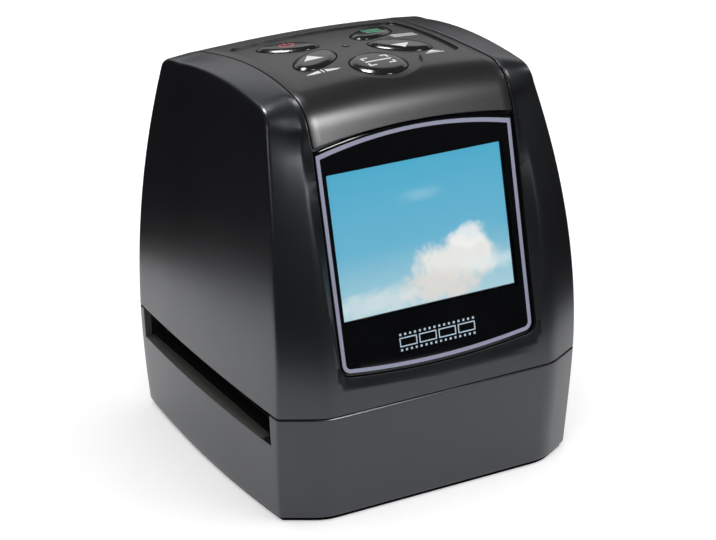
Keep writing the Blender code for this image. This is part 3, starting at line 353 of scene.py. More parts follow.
black_zinc = metal("black_zinc", (0.16, 0.16, 0.17), 0.4, 0.01)
screw_names = [f"casing_screw_{i + 1}" for i in range(4)]
screw_boxes = [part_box(name) for name in screw_names]
screw_length = (screw_boxes[0][1].z - screw_boxes[0][0].z) / MM - SHANK_SHORTER
screw_places = []
for low, high in screw_boxes:
    screw_places.append(((low.x + high.x) / 2 / MM, (low.y + high.y) / 2 / MM, SCREW_HEAD_LOW))
screws = points_object("casing_screws", screw_places)
screw_sizes = {"Head height": SCREW_HEAD_HEIGHT, "Shank": SCREW_SHANK, "Length": screw_length}
smoothed(grown_mesh(screws, screw_tree(black_zinc), screw_sizes))
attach(screws, "housing")
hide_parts(*screw_names)

# Base shell
# The lower half of the housing, moulded in satin black plastic, with the film slot's mouths in both sides.
# Made as rings round the casing from the bottom up, then cut out inside and across for the slot.

BASE_BOTTOM = 1.0
PARTING = 28.8
WALL = 2.0
BOTTOM_EDGE = ((0.4, 0.0), (0.12, 0.15), (0.03, 0.4))
STRAIGHT_FROM = 0.8
SEAM_EASE_HIGH = 0.25
SEAM_EASE_DEEP = 0.2
BASE_ROWS = 16
HOLLOW_SHARE = 0.952
DECK_THICK = 2.0
POST_FOOT = 2.9
SIDE_HALF = 41.95
SIDE_LEAN_RADIUS = 440.0
SIDE_BOW = 1.1
BASE_TAPER = 1.0
BASE_BOW = 2.0
FRONT_Y = -45.9
FRONT_STRAIGHT_TO = 34.0
FRONT_RADIUS = 125.0
FRONT_CREASE_Y = -40.3
FRONT_CREASE_RADIUS = 143.0
FRONT_CREASE_Z = 40.5
BACK_Y = 45.9
BACK_RADIUS = 235.0
BACK_CREASE_Y = 43.75
BACK_CREASE_RADIUS = 253.0
BACK_CREASE_Z = 21.0
BASE_FRONT_BOTTOM_Y = -42.9
TOP_CREASE_Z = 103.15
CORNER_START_Z = 97.0
FACE_HALF = 32.0
FACE_HALF_LOW = 31.1
FACE_WIDEST_Z = 60.0
FACE_NARROWS = 2.5
BACK_CORNER = 8.0
CREASE_EASE = 0.9
EDGE_EASE = 3.2
SLOT_FRONT_Y = -35.8
SLOT_BACK_Y = 39.0
SLOT_MOUTH_BACK_Y = 40.5
SLOT_FLOOR = 20.5
SLOT_HIGH = 40.0
GATE_LOW = 15.0
GATE_HIGH = 22.0
POCKET_HALF = 23.0
FRONT_WALL = 2.3
MOUTH_FRONT_Y = SLOT_FRONT_Y + 5.0
BEYOND_SIDE = 50.0
GUIDE_HALF_X = 36.0
POSTS = ((-28.5, -38.4), (28.5, -38.4), (-28.5, 40.8), (28.5, 40.8))
POST_RADIUS = 2.7
SCREW_HOLE = 1.2
MOUTH_LIGHT_RUN = 2.4
MOUTH_LIGHT_END_RUN = 1.6
MOUTH_LIGHT_DEPTH = 0.06


def sag(run, radius):
    """How far an arc of this radius falls away over a run."""
    return run**2 / (2 * radius)


def side_x(z):
    if z >= PARTING:
        return SIDE_HALF - sag(z - PARTING, SIDE_LEAN_RADIUS)
    return SIDE_HALF - BASE_TAPER * ((PARTING - z) / (PARTING - BASE_BOTTOM)) ** 1.6


def side_bow(z):
    if z < PARTING:
        return SIDE_BOW + (BASE_BOW - SIDE_BOW) * (PARTING - z) / (PARTING - BASE_BOTTOM)
    return SIDE_BOW * (1 - (z - PARTING) / (TOP_CREASE_Z - PARTING)) ** 0.7 if z < TOP_CREASE_Z else 0.0


def front_crease_y(z):
    if z >= PARTING:
        return FRONT_CREASE_Y + sag(z - FRONT_CREASE_Z, FRONT_CREASE_RADIUS)
    return FRONT_CREASE_Y + 0.48 + (PARTING - z) * 0.1


def back_crease_y(z):
    return BACK_CREASE_Y - sag(z - BACK_CREASE_Z, BACK_CREASE_RADIUS)


def face_y(z):
    if z < PARTING:
        return FRONT_Y + (BASE_FRONT_BOTTOM_Y - FRONT_Y) * ((PARTING - z) / (PARTING - BASE_BOTTOM)) ** 1.2
    return FRONT_Y + sag(max(z - FRONT_STRAIGHT_TO, 0.0), FRONT_RADIUS)


def back_y(z):
    return BACK_Y - sag(z - BACK_CREASE_Z, BACK_RADIUS)


def face_x(z):
    if z <= FACE_WIDEST_Z:
        share = (FACE_WIDEST_Z - z) / (FACE_WIDEST_Z - BASE_BOTTOM)
        return FACE_HALF - (FACE_HALF - FACE_HALF_LOW) * share**2
    return FACE_HALF - FACE_NARROWS * ((z - FACE_WIDEST_Z) / (CORNER_START_Z - FACE_WIDEST_Z)) ** 1.6


def bent(points, setbacks, steps=4):
    """The line with its inner corners bent round, each from this far before it to this far after."""
    points = [Vector(p) for p in points]
    line = [points[0]]
    for before, here, after, setback in zip(points, points[1:], points[2:], setbacks):
        if setback == 0:
            line.append(here)
            continue
        arm, leg = before - here, after - here
        start = here + arm.normalized() * min(setback, 0.45 * arm.length)
        end = here + leg.normalized() * min(setback, 0.45 * leg.length)
        for i in range(steps + 1):
            t = i / steps
            line.append(start.lerp(here, t).lerp(here.lerp(end, t), t))
    line.append(points[-1])
    return line


def loft(rings):
    """Closed skin over rings of points that match one to one."""
    bm = bmesh.new()
    rows = [[bm.verts.new(p) for p in ring] for ring in rings]
    count = len(rows[0])
    for lower, upper in zip(rows, rows[1:]):
        for i in range(count):
            j = (i + 1) % count
            bm.faces.new((lower[i], lower[j], upper[j], upper[i]))
    bm.faces.new(reversed(rows[0]))
    bm.faces.new(rows[-1])
    return bm


def warped(face):
    face.normal_update()
    corner = face.verts[0].co
    return any(abs((vert.co - corner).dot(face.normal)) > 0.0001 for vert in face.verts)


def piece(name, bm, look):
    """An object of this mesh, scaled from millimetres to metres."""
    bmesh.ops.remove_doubles(bm, verts=bm.verts, dist=0.0005)
    bmesh.ops.recalc_face_normals(bm, faces=bm.faces)
    bmesh.ops.triangulate(bm, faces=[face for face in bm.faces if warped(face)])
    bmesh.ops.scale(bm, verts=bm.verts, vec=(MM, MM, MM))
    mesh = bpy.data.meshes.new(name)
    bm.to_mesh(mesh)
    bm.free()
    mesh.materials.append(look)
    return new_object(name, mesh)


def combine(target, tool, operation):
    """Joins the tool to the piece, cuts it out, or keeps what both share."""
    modifier = target.modifiers.new(operation.lower(), "BOOLEAN")
    modifier.operation = operation
    modifier.solver = "MANIFOLD"
    modifier.object = tool
    settled(target)
    bpy.data.objects.remove(tool)


def carve(target, bm):
    """Cuts a shape out of the piece, in the piece's own finish."""
    combine(target, piece("cutter", bm, target.data.materials[0]), "DIFFERENCE")


def join(target, bm):
    combine(target, piece("addition", bm, target.data.materials[0]), "UNION")


def prism(outline, low, high):
    return loft([[(x, y, z) for x, y in outline] for z in (low, high)])


def bar(x0, y0, x1, y1):
    return ((x0, y0), (x1, y0), (x1, y1), (x0, y1))


def block(low, high):
    return prism(bar(low[0], low[1], high[0], high[1]), low[2], high[2])


def circle(x, y, radius, count=32):
    turns = [math.tau * i / count for i in range(count)]
    return [(x + radius * math.cos(t), y + radius * math.sin(t)) for t in turns]


def round_bar(x, y, radius, low, high):
    return prism(circle(x, y, radius), low, high)


def base_outline(z, inset=0.0, steps=24):
    """The lower casing in plan at a height, with its corners eased."""
    crease_x = side_x(z)
    front = front_crease_y(z)
    back = back_crease_y(z)
    side = []
    for i in range(1, steps):
        share = i / steps
        side.append((crease_x + side_bow(z) * 4 * share * (1 - share), front + (back - front) * share))
    half = [(0.0, face_y(z)), (face_x(z), face_y(z)), (crease_x, front)] + side
    half += [(crease_x, back), (crease_x - BACK_CORNER, back_y(z)), (0.0, back_y(z))]
    setbacks = [EDGE_EASE, CREASE_EASE] + [0.0] * len(side) + [CREASE_EASE, EDGE_EASE]
    line = [(p.x, p.y) for p in bent([(x, y, 0.0) for x, y in half], setbacks)][1:-1]
    outline = line + [(-x, y) for x, y in reversed(line)]
    if not inset:
        return outline
    moved = []
    for i, point in enumerate(outline):
        here = Vector(point)
        run = (Vector(outline[(i + 1) % len(outline)]) - Vector(outline[i - 1])).normalized()
        moved.append(tuple(here - Vector((run.y, -run.x)) * inset))
    return moved


def paint_mouth_light(shell, side, mouth_light_look):
    """Skims the floor and the back end of a mouth of the slot in a paler finish: painted light where light
    falls in just inside the mouth.
    """
    low, end = SLOT_FLOOR - MOUTH_LIGHT_DEPTH, SLOT_MOUTH_BACK_Y + MOUTH_LIGHT_DEPTH
    floor_slice = (MOUTH_LIGHT_RUN, MOUTH_FRONT_Y, SLOT_MOUTH_BACK_Y, GATE_HIGH)
    end_slice = (MOUTH_LIGHT_END_RUN, SLOT_MOUTH_BACK_Y - 1.0, end, SLOT_HIGH)
    for run, front, back, high in (floor_slice, end_slice):
        inner, outer = sorted((side * (SIDE_HALF - run), side * BEYOND_SIDE))
        skim = piece("slice", block((inner, front, low), (outer, back, high)), mouth_light_look)
        combine(shell, skim, "DIFFERENCE")


def base_shell_mesh(look, mouth_light_look):
    rings = []
    for inset, rise in BOTTOM_EDGE:
        z = BASE_BOTTOM + rise
        rings.append([(x, y, z) for x, y in base_outline(z, inset)])
    low = BASE_BOTTOM + STRAIGHT_FROM
    for i in range(BASE_ROWS + 1):
        z = low + (PARTING - SEAM_EASE_HIGH - low) * i / BASE_ROWS
        rings.append([(x, y, z) for x, y in base_outline(z)])
    rings.append([(x, y, PARTING) for x, y in base_outline(PARTING, SEAM_EASE_DEEP)])
    shell = piece("base_shell_fine", loft(rings), look)
    hollow = []
    for z in (0.0, 6.0, 12.0, SLOT_FLOOR - DECK_THICK):
        outline = base_outline(max(z, BASE_BOTTOM))
        hollow.append([(x * HOLLOW_SHARE, y * HOLLOW_SHARE, z) for x, y in outline])
    carve(shell, loft(hollow))
    carve(shell, block((-BEYOND_SIDE, SLOT_FRONT_Y, SLOT_FLOOR), (BEYOND_SIDE, SLOT_BACK_Y, SLOT_HIGH)))
    gate_back = SLOT_BACK_Y - WALL
    carve(shell, block((-GUIDE_HALF_X, SLOT_FRONT_Y, GATE_LOW), (GUIDE_HALF_X, gate_back, GATE_HIGH)))
    for side in (1, -1):
        inner, outer = sorted((side * GUIDE_HALF_X, side * BEYOND_SIDE))
        carve(shell, block((inner, MOUTH_FRONT_Y, SLOT_FLOOR), (outer, SLOT_MOUTH_BACK_Y, SLOT_HIGH)))
        paint_mouth_light(shell, side, mouth_light_look)
    pocket_low = (-POCKET_HALF, FRONT_Y + FRONT_WALL, GATE_LOW)
    carve(shell, block(pocket_low, (POCKET_HALF, SLOT_FRONT_Y - WALL, PARTING - WALL)))
    for x, y in POSTS:
        join(shell, round_bar(x, y, POST_RADIUS, POST_FOOT, SLOT_FLOOR))
        carve(shell, round_bar(x, y, SCREW_HOLE, 0.0, SLOT_HIGH))
    return smoothed(shell)


satin_black = moulded("satin_black", (0.0085, 0.0088, 0.010), 0.29, 0.28, 0.012, shine=0.8)
satin_black.node_tree.nodes["Principled BSDF"].inputs["Specular Tint"].default_value = (0.88, 0.92, 1.0, 1.0)
# A paler black that paints the light falling on the floor and end just inside each mouth of the slot.
painted_light_black = moulded("painted_light_black", (0.050, 0.050, 0.044), 0.5, 0.3, 0.02)
base_shell = base_shell_mesh(satin_black, painted_light_black)
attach(base_shell, "housing")
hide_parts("base_shell")

# Lamp
# A white box with two lights on a small board, under a milky plate that spreads their light over the film.
# These pieces keep their CAD shapes and take the finishes of moulded white, milky and board material.


def board_green(name):
    """A circuit board: green lacquer over copper tracks, with rows of small bright solder points."""
    look, tree, shader = fresh(name)
    place = place_on(tree)
    inputs = {"Vector": place, "Scale": 260.0, "Mortar Size": 0.06, "Mortar": (0.05, 0.2, 0.09, 1.0)}
    inputs.update({"Color1": (0.012, 0.085, 0.035, 1.0), "Color2": (0.016, 0.11, 0.045, 1.0)})
    tracks = add(tree, "ShaderNodeTexBrick", "Color", inputs)
    dots = add(tree, "ShaderNodeTexVoronoi", "Distance", {"Vector": place, "Scale": 420.0})
    solder = ranged(tree, dots, 0.0, 1.0, 0.16, 0.12)
    inputs = {
        "Coat Weight": 0.3,
        "Base Color": blend(tree, solder, tracks, (0.55, 0.54, 0.5, 1.0)),
        "Metallic": solder,
        "Roughness": ranged(tree, solder, 0.45, 0.28),
        "Normal": bumps(tree, tracks.node.outputs["Fac"], 0.05, 1.0),
    }
    feed(tree, shader, inputs)
    return look


moulded_white = moulded("moulded_white", (0.72, 0.72, 0.70), 0.5, 0.5, 0.02, -0.05)
green_board = board_green("green_board")
milky_plate = moulded("milky_plate", (0.85, 0.86, 0.86), 0.35, 0.6, 0.01, -0.04)
milky_plate.node_tree.nodes["Principled BSDF"].inputs["Subsurface Weight"].default_value = 0.4
milky_plate.node_tree.nodes["Principled BSDF"].inputs["Subsurface Scale"].default_value = 1.0 * MM
finish_nodes(moulded_white, "light_box", "light_led_1", "light_led_2")
finish_nodes(green_board, "light_board")
finish_nodes(milky_plate, "diffuser_plate")

# Film guides and detent
# Two black plates that keep the carrier flat, and the small steel pin, spring and cap that stop it at each
# frame. The spring is round wire laid along a spiral. The rest keep CAD shapes.

SPRING_TURNS = 5.5
SPRING_WIRE = 0.2


def coil(x, y, low, high, radius, wire, steps=20, sides=8):
    """Round wire wound from one height to another."""
    rings = []
    count = round(SPRING_TURNS * steps)
    for i in range(count + 1):
        turn = math.tau * i / steps
        z = low + wire + (high - low - 2 * wire) * i / count
        ring = []
        for k in range(sides):
            around = math.tau * k / sides
            reach = radius - wire + wire * math.cos(around)
            ring.append((x + reach * math.cos(turn), y + reach * math.sin(turn), z + wire * math.sin(around)))
        rings.append(ring)
    return loft(rings)


bright_steel = metal("bright_steel", (0.62, 0.61, 0.59), 0.3, 0.01)
finish_nodes(inner_black, "lower_film_guide", "upper_film_guide", "detent_cap")
finish_nodes(bright_steel, "detent_pin")
spring_low, spring_high = (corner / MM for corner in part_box("detent_spring"))
spring_middle = (spring_low + spring_high) / 2
spring_radius = (spring_high.x - spring_low.x) / 2
spring_coil = coil(
    spring_middle.x, spring_middle.y, spring_low.z, spring_high.z, spring_radius, SPRING_WIRE
)
spring = smoothed(piece("detent_spring_fine", spring_coil, bright_steel), 60.0)
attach(spring, "housing")
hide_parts("detent_spring")
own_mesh(spring)

# Camera of the scanner
# A hood, a lens in a barrel and holder, and a sensor on its own board, over the film gate.
# All sit out of sight inside the housing and keep their CAD shapes.


def coated_glass(name):
    """Lens glass with a faint violet coating that is uneven towards its edge."""
    look, tree, shader = fresh(name)
    cloud = noise(tree, place_on(tree), 180.0)
    coating = ((0.72, 0.7, 0.9, 1.0), (0.9, 0.92, 0.95, 1.0))
    inputs = varied(tree, cloud, coating, (0.02, 0.07), 0.005, 0.1)
    feed(tree, shader, {"Transmission Weight": 0.9, **inputs})
    return look


chip_epoxy = moulded("chip_epoxy", (0.02, 0.02, 0.022), 0.42, 0.15, 0.01, 0.02)
finish_nodes(inner_black, "optical_hood", "lens_holder", "lens_barrel")
finish_nodes(coated_glass("coated_glass"), "lens_glass")
finish_nodes(green_board, "sensor_board")
finish_nodes(chip_epoxy, "image_sensor")

# Main board and sockets
# The board with its processor and, along its back edge, a card socket, a data socket and a video jack.
# The sockets open through the back of the upper shell, and all keep their CAD shapes.

finish_nodes(green_board, "main_board")
finish_nodes(chip_epoxy, "image_processor", "tv_jack")
finish_nodes(bright_steel, "board_screw_1", "board_screw_2", "card_socket", "usb_socket")

# Display panel
# A colour display in a black tray, close behind the pane. The tray keeps its CAD shape.
# The picture is plain sky with clouds, drawn by its material across the lit part of the panel's front.

WINDOW_Y = -38.45
WINDOW_Z = 68.8
WINDOW_TILT = math.radians(11.77)
LIT_HALF_WIDTH = 23.8
LIT_HALF_HEIGHT = 17.7
LIT_MIDDLE_UP = -0.55
LIT_MIDDLE_X = -0.35
PANE_THICK = 1.5
PANEL_HALF_X = 25.5
PANEL_HALF_UP = 19.8
PANEL_MIDDLE = -1.0
PANEL_FRONT = 1.9
PANEL_BACK = 5.6


def on_window(x, up, out):
    """A point given across, up and out of the pane's plane."""
    sine, cosine = math.sin(WINDOW_TILT), math.cos(WINDOW_TILT)
    return (x, WINDOW_Y + up * sine - out * cosine, WINDOW_Z + up * cosine + out * sine)


def window_loft(outline, low, high):
    return loft([[on_window(x, up, out) for x, up in outline] for out in (low, high)])


def rounded(half_x, half_y, radius, x, y, steps=6):
    """A rectangle with round corners."""
    points = []
    for corner, (sx, sy) in enumerate(((1, 1), (-1, 1), (-1, -1), (1, -1))):
        for i in range(steps + 1):
            turn = math.radians(90 * (corner + i / steps))
            across = x + sx * (half_x - radius) + radius * math.cos(turn)
            points.append((across, y + sy * (half_y - radius) + radius * math.sin(turn)))
    return points


def window_coordinates(tree):
    """Places on the window in metres: X across, Z up, and Y from the front of the pane inwards."""
    turn = Matrix.Rotation(WINDOW_TILT, 3, "X")
    shift = -(turn @ Vector((LIT_MIDDLE_X, WINDOW_Y, WINDOW_Z))) * MM
    inputs = {"Vector": place_on(tree), "Rotation": (WINDOW_TILT, 0.0, 0.0), "Location": shift}
    return add(tree, "ShaderNodeMapping", "Vector", inputs)


def cloud_amount(tree, place, across, above, wide, high, lumps, softness, strength):
    """How much cloud there is, from a soft oval broken up by noise."""
    inputs = {"Location": (across * MM, 0.0, above * MM), "Scale": (wide * MM, 1.0, high * MM)}
    centred = add(tree, "ShaderNodeMapping", "Vector", {"Vector": place, **inputs}, vector_type="TEXTURE")
    reach = add(tree, "ShaderNodeVectorMath", "Value", {0: centred}, operation="LENGTH")
    inputs = {"Vector": place, "Scale": (lumps, lumps, lumps * wide / high * 0.5)}
    torn = noise(tree, add(tree, "ShaderNodeMapping", "Vector", inputs), 1.0, 7.0, Roughness=0.55)
    edge = maths(tree, "ADD", reach, maths(tree, "MULTIPLY_ADD", torn, -2.2, 1.1))
    amount = ranged(tree, edge, 0.0, strength, 1.0 + softness, 1.0 - softness)
    amount.node.interpolation_type = "SMOOTHSTEP"
    return amount


def lit_part(tree, place):
    """One on the lit part of the panel and nothing round it."""
    inputs = {0: place, 1: (0.0, 0.0, LIT_MIDDLE_UP * MM)}
    shifted = add(tree, "ShaderNodeVectorMath", "Vector", inputs, operation="SUBTRACT")
    reach = add(tree, "ShaderNodeVectorMath", "Vector", {0: shifted}, operation="ABSOLUTE")
    across = add(tree, "ShaderNodeSeparateXYZ", "X", {"Vector": reach})
    within = maths(tree, "LESS_THAN", across, LIT_HALF_WIDTH * MM)
    return maths(
        tree, "MULTIPLY", within, maths(tree, "LESS_THAN", across.node.outputs["Z"], LIT_HALF_HEIGHT * MM)
    )


def sky_picture():
    """A lit display: deep blue above, paler below, a bank of cloud on the right and thin streaks."""
    look, tree, shader = fresh("sky_picture")
    place = window_coordinates(tree)
    up = add(tree, "ShaderNodeSeparateXYZ", "Z", {"Vector": place})
    low, high = (LIT_MIDDLE_UP - LIT_HALF_HEIGHT) * MM, (LIT_MIDDLE_UP + LIT_HALF_HEIGHT) * MM
    colour = add(tree, "ShaderNodeValToRGB", "Color", {"Fac": ranged(tree, up, 0.0, 1.0, low, high)})
    ramp = colour.node.color_ramp.elements
    ramp[0].color = (0.42, 0.66, 0.73, 1.0)
    ramp[1].color = (0.075, 0.42, 0.62, 1.0)
    ramp.new(0.45).color = (0.14, 0.47, 0.66, 1.0)
    clouds = (
        (9.0, -9.5, 8.5, 5.0, 190.0, 0.35, 0.95, (0.88, 0.86, 0.82)),
        (4.0, -14.5, 10.0, 3.6, 240.0, 0.4, 0.9, (0.78, 0.74, 0.70)),
        (13.0, -4.0, 4.5, 2.6, 260.0, 0.4, 0.85, (0.93, 0.93, 0.91)),
        (-14.0, -15.5, 11.0, 2.6, 210.0, 0.7, 0.6, (0.80, 0.84, 0.84)),
        (17.0, -11.5, 9.0, 1.6, 150.0, 0.8, 0.55, (0.80, 0.88, 0.90)),
        (1.0, 8.5, 4.5, 1.2, 260.0, 0.9, 0.25, (0.60, 0.78, 0.86)),
    )
    for *form, tone in clouds:
        colour = blend(tree, cloud_amount(tree, place, *form), colour, shade(tone))
    inputs = {
        "Roughness": 0.3,
        "Base Color": (0.01, 0.012, 0.014, 1.0),
        "Emission Strength": 1.0,
        "Emission Color": blend(tree, lit_part(tree, place), (0.0, 0.0, 0.0, 1.0), colour),
    }
    feed(tree, shader, inputs)
    return look


panel_outline = rounded(PANEL_HALF_X, PANEL_HALF_UP, 1.0, 0.0, PANEL_MIDDLE)
panel = piece("display_panel", window_loft(panel_outline, -PANEL_BACK, -PANEL_FRONT), sky_picture())
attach(panel, "housing")
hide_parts("lcd_panel")
finish_nodes(inner_black, "lcd_tray")

# Upper shell
# The upper half of the housing, moulded in the same satin plastic as the base. It holds the display's bay
# and the seat for the cover. Its skin follows lines up the front, over the top and down the back.

PARTING_GROOVE = 0.4
BROW_RADIUS = 147.0
BROW_OVER_RIDGE = 0.7
TOP_SEAM_Y = -7.5
TOP_SEAM_Z = 104.15
TOP_SEAM_RADIUS = 190.0
TOP_CREASE_Y = -4.0
TOP_CREASE_RADIUS = 150.0
TOP_START_Y = -23.5
TOP_END_Y = 23.0
BAND_HALF = 30.2
BAND_HALF_LOW = 28.4
BAND_NARROWS_FROM = 80.0
BAND_NARROWS_OVER = 40.0
RIDGE_RISES_FROM = 90.0
PANE_HALF_TOP = 27.3
PANE_HALF_BOTTOM = 27.1
PANE_TOP = 23.2
PANE_TOP_RISE = 3.0
PANE_BOTTOM = -31.2
PANE_BOTTOM_DROP = 1.5
PANE_CORNER = 3.0
GAP = 0.3
BAY_RIM = 0.8
BAY_FROM_Z = 38.0
SILL_V = -35.4
SILL_HALF = 28.5
SILL_RISE = 0.9
SILL_RUN = 17.0
SILL_END = 26.0
SILL_END_RISE = 1.5
COVER_HALF = 27.5
COVER_HALF_MIDDLE = 26.4
COVER_CROWN = 1.2
CROWN_FROM_Y = -35.0
CROWN_TO_Y = 36.0
CROWN_RUN = 12.0
COVER_STARTS_Z = 90.0
RIDGE_EASE = 0.5
EDGE_UNDER = 0.12
EDGE_FROM_SEAM = 1.6
RIDGE_FROM_SEAM = 0.7
FINENESS = (4, 10, 20)
PLAIN_FINENESS = (1, 3, 4)
SIDE_INSET = 2.4
LEDGE_FROM_X = 22.5
LEDGE_DEPTH = 3.8
LEDGE_OVERLAP = 1.5
SEAT_DEPTH = 2.2
RIB_HALF = 0.7
RIB_LOW = 15.0
RIB_HIGH = 41.0
POST_LOW = 10.0
POST_HIGH = 42.0
VIEW_MARGIN = 0.4
OPEN_BACK = (30.0, 50.0)
CARD_OPENING = (11.0, 71.2, 13.3, 1.7)
USB_OPENING = (-12.0, 71.6, 4.4, 2.5)
TV_X = -23.0
TV_Z = 72.8
TV_RADIUS = 3.4

COARSE_HEIGHTS = [PARTING + PARTING_GROOVE, 37.0, 39.5, 46.0, 54.0, 63.0, 72.0, 81.0, COVER_STARTS_Z, 94.0]
COARSE_HEIGHTS += [CORNER_START_Z]


def window_y(z):
    return WINDOW_Y + (z - WINDOW_Z) * math.tan(WINDOW_TILT)


def bay_y(z):
    """The rim beside the pane, a little proud of the pane, and above it the brow. Under the bay, the face."""
    brow = FRONT_Y + sag(max(z - FRONT_STRAIGHT_TO, 0.0), BROW_RADIUS)
    return max(window_y(z) - BAY_RIM, brow) if z > BAY_FROM_Z else face_y(z)


def back_strip_x(z, share):
    """A place on the back between the cover's edge line and the side wall."""
    return COVER_HALF + (side_x(z) - COVER_HALF) * share


def band_x(z):
    """The ridge beside the bay, which runs in to the cover's seam at the top."""
    if z <= BAND_NARROWS_FROM:
        share = min(max((BAND_NARROWS_FROM - z) / BAND_NARROWS_OVER, 0.0), 1.0)
        return BAND_HALF - (BAND_HALF - BAND_HALF_LOW) * share**2
    share = (z - BAND_NARROWS_FROM) / (TOP_SEAM_Z - BAND_NARROWS_FROM)
    return BAND_HALF - (BAND_HALF - COVER_HALF) * share**1.6


def ridge_y(z):
    """The ridge lies in the front face, and near the top it comes out to the brow."""
    share = min(max((z - RIDGE_RISES_FROM) / (CORNER_START_Z - RIDGE_RISES_FROM), 0.0), 1.0)
    return face_y(z) + (bay_y(z) + BROW_OVER_RIDGE - face_y(z)) * share**2


def top_seam_z(y):
    return TOP_SEAM_Z - sag(y - TOP_SEAM_Y, TOP_SEAM_RADIUS)


def top_crease_z(y):
    return TOP_CREASE_Z - sag(y - TOP_CREASE_Y, TOP_CREASE_RADIUS)


def seam_x(y):
    """Half width of the cover, which is a little slimmer in the middle of the top."""
    share = min(abs(y) / TOP_END_Y, 1.0)
    return COVER_HALF_MIDDLE + (COVER_HALF - COVER_HALF_MIDDLE) * share**2


def eased(share):
    """From nothing to one, slow at both ends."""
    share = min(max(share, 0.0), 1.0)
    return share * share * (3 - 2 * share)


def crown(x, y):
    """How far the cover swells above its edges, which fades out towards its two ends."""
    across = 1 - min(abs(x) / seam_x(y), 1.0) ** 2
    return COVER_CROWN * across * eased((y - CROWN_FROM_Y) / CROWN_RUN) * eased((CROWN_TO_Y - y) / CROWN_RUN)


def corner_points(start, corner, end, count):
    """Points inside a round corner, without its two ends."""
    points = []
    for i in range(1, count + 1):
        t = i / (count + 1)
        places = zip(start, corner, end)
        points.append(tuple((1 - t) ** 2 * a + 2 * t * (1 - t) * b + t * t * c for a, b, c in places))
    return points


def refined(heights, parts):
    """The heights with each step between them split into equal parts."""
    fine = []
    for low, high in zip(heights, heights[1:]):
        fine += [low + (high - low) * i / parts for i in range(parts)]
    return fine + [heights[-1]]


class Wrap:
    """Lines over the casing at one fineness: up the front, over the top and down the back."""

    def __init__(self, parts, corner_count, top_count):
        self.heights = refined(COARSE_HEIGHTS, parts)
        self.corner_count = corner_count
        step = (TOP_END_Y - TOP_START_Y) / top_count
        self.depths = [TOP_START_Y + step * i for i in range(top_count + 1)]

    def line(self, front, front_corner, top, back_corner, back):
        """front and back give a point for a height, and top gives one for a depth."""
        points = [front(z) for z in self.heights]
        points += corner_points(front(CORNER_START_Z), front_corner, top(TOP_START_Y), self.corner_count)
        points += [top(y) for y in self.depths]
        points += corner_points(top(TOP_END_Y), back_corner, back(CORNER_START_Z), self.corner_count)
        points += [back(z) for z in reversed(self.heights)]
        return points

    def crease(self):
        """Where the side wall turns into the front, the top and the back."""
        return self.line(
            lambda z: (side_x(z), front_crease_y(z), z),
            (36.0, -28.5, 101.5),
            lambda y: (side_x(top_crease_z(y)), y, top_crease_z(y)),
            (35.9, 32.2, 100.3),
            lambda z: (side_x(z), back_crease_y(z), z),
        )

    def edge(self):
        """Where the corner's slant meets the front face."""
        return self.line(
            lambda z: (face_x(z), ridge_y(z) + EDGE_UNDER, z),
            (28.9, -29.0, 102.3),
            lambda y: (seam_x(y) + EDGE_FROM_SEAM, y, top_seam_z(y) - EDGE_UNDER),
            (31.5, 32.9, 100.4),
            lambda z: (back_strip_x(z, 0.62), back_y(z) - 0.3, z),
        )

    def ridge(self):
        """The ridge of the side band beside the brow and the pane."""
        return self.line(
            lambda z: (band_x(z), ridge_y(z), z),
            (28.0, -29.4, 102.6),
            lambda y: (seam_x(y) + RIDGE_FROM_SEAM, y, top_seam_z(y)),
            (29.5, 33.2, 100.6),
            lambda z: (back_strip_x(z, 0.3), back_y(z) - 0.1, z),
        )

    def seam(self):
        """The edge of the top cover, carried on down the front and the back."""
        return self.line(
            lambda z: (COVER_HALF, bay_y(z), z),
            (COVER_HALF, -30.0, 102.8),
            lambda y: (seam_x(y), y, top_seam_z(y)),
            (COVER_HALF, 33.4, 100.6),
            lambda z: (COVER_HALF, back_y(z), z),
        )


def side_wall_x(y, z):
    """The bowed side wall at a place on it."""
    front = front_crease_y(z)
    share = (y - front) / (back_crease_y(z) - front)
    return side_x(z) + side_bow(z) * 4 * share * (1 - share)


def heading(line, i):
    """Which way a line over the casing runs at one of its points, in Y and Z."""
    before, after = line[max(i - 1, 0)], line[min(i + 1, len(line) - 1)]
    return Vector((after[1] - before[1], after[2] - before[2])).normalized()


def side_border(crease):
    """The line a little inside the crease, all the way round, where the flat of the side wall starts."""
    border = []
    for i, (_, y, z) in enumerate(crease):
        run = heading(crease, i)
        inner_y = y + run.y * SIDE_INSET
        inner_z = z if i in (0, len(crease) - 1) else z - run.x * SIDE_INSET
        border.append((side_wall_x(inner_y, inner_z), inner_y, inner_z))
    return border


def on_wall(start, end, share):
    """A place on the side wall, this share of the way from one to another."""
    y, z = (a + (b - a) * share for a, b in zip(start[1:], end[1:]))
    return (side_wall_x(y, z), y, z)


def patch(bm, rows, side):
    """Faces between rows of points, on this side of the casing."""
    made = [[bm.verts.new((side * x, y, z)) for x, y, z in row] for row in rows]
    for first, second in zip(made, made[1:]):
        for a, b, c, d in zip(first, first[1:], second[1:], second):
            bm.faces.new((a, b, c, d))


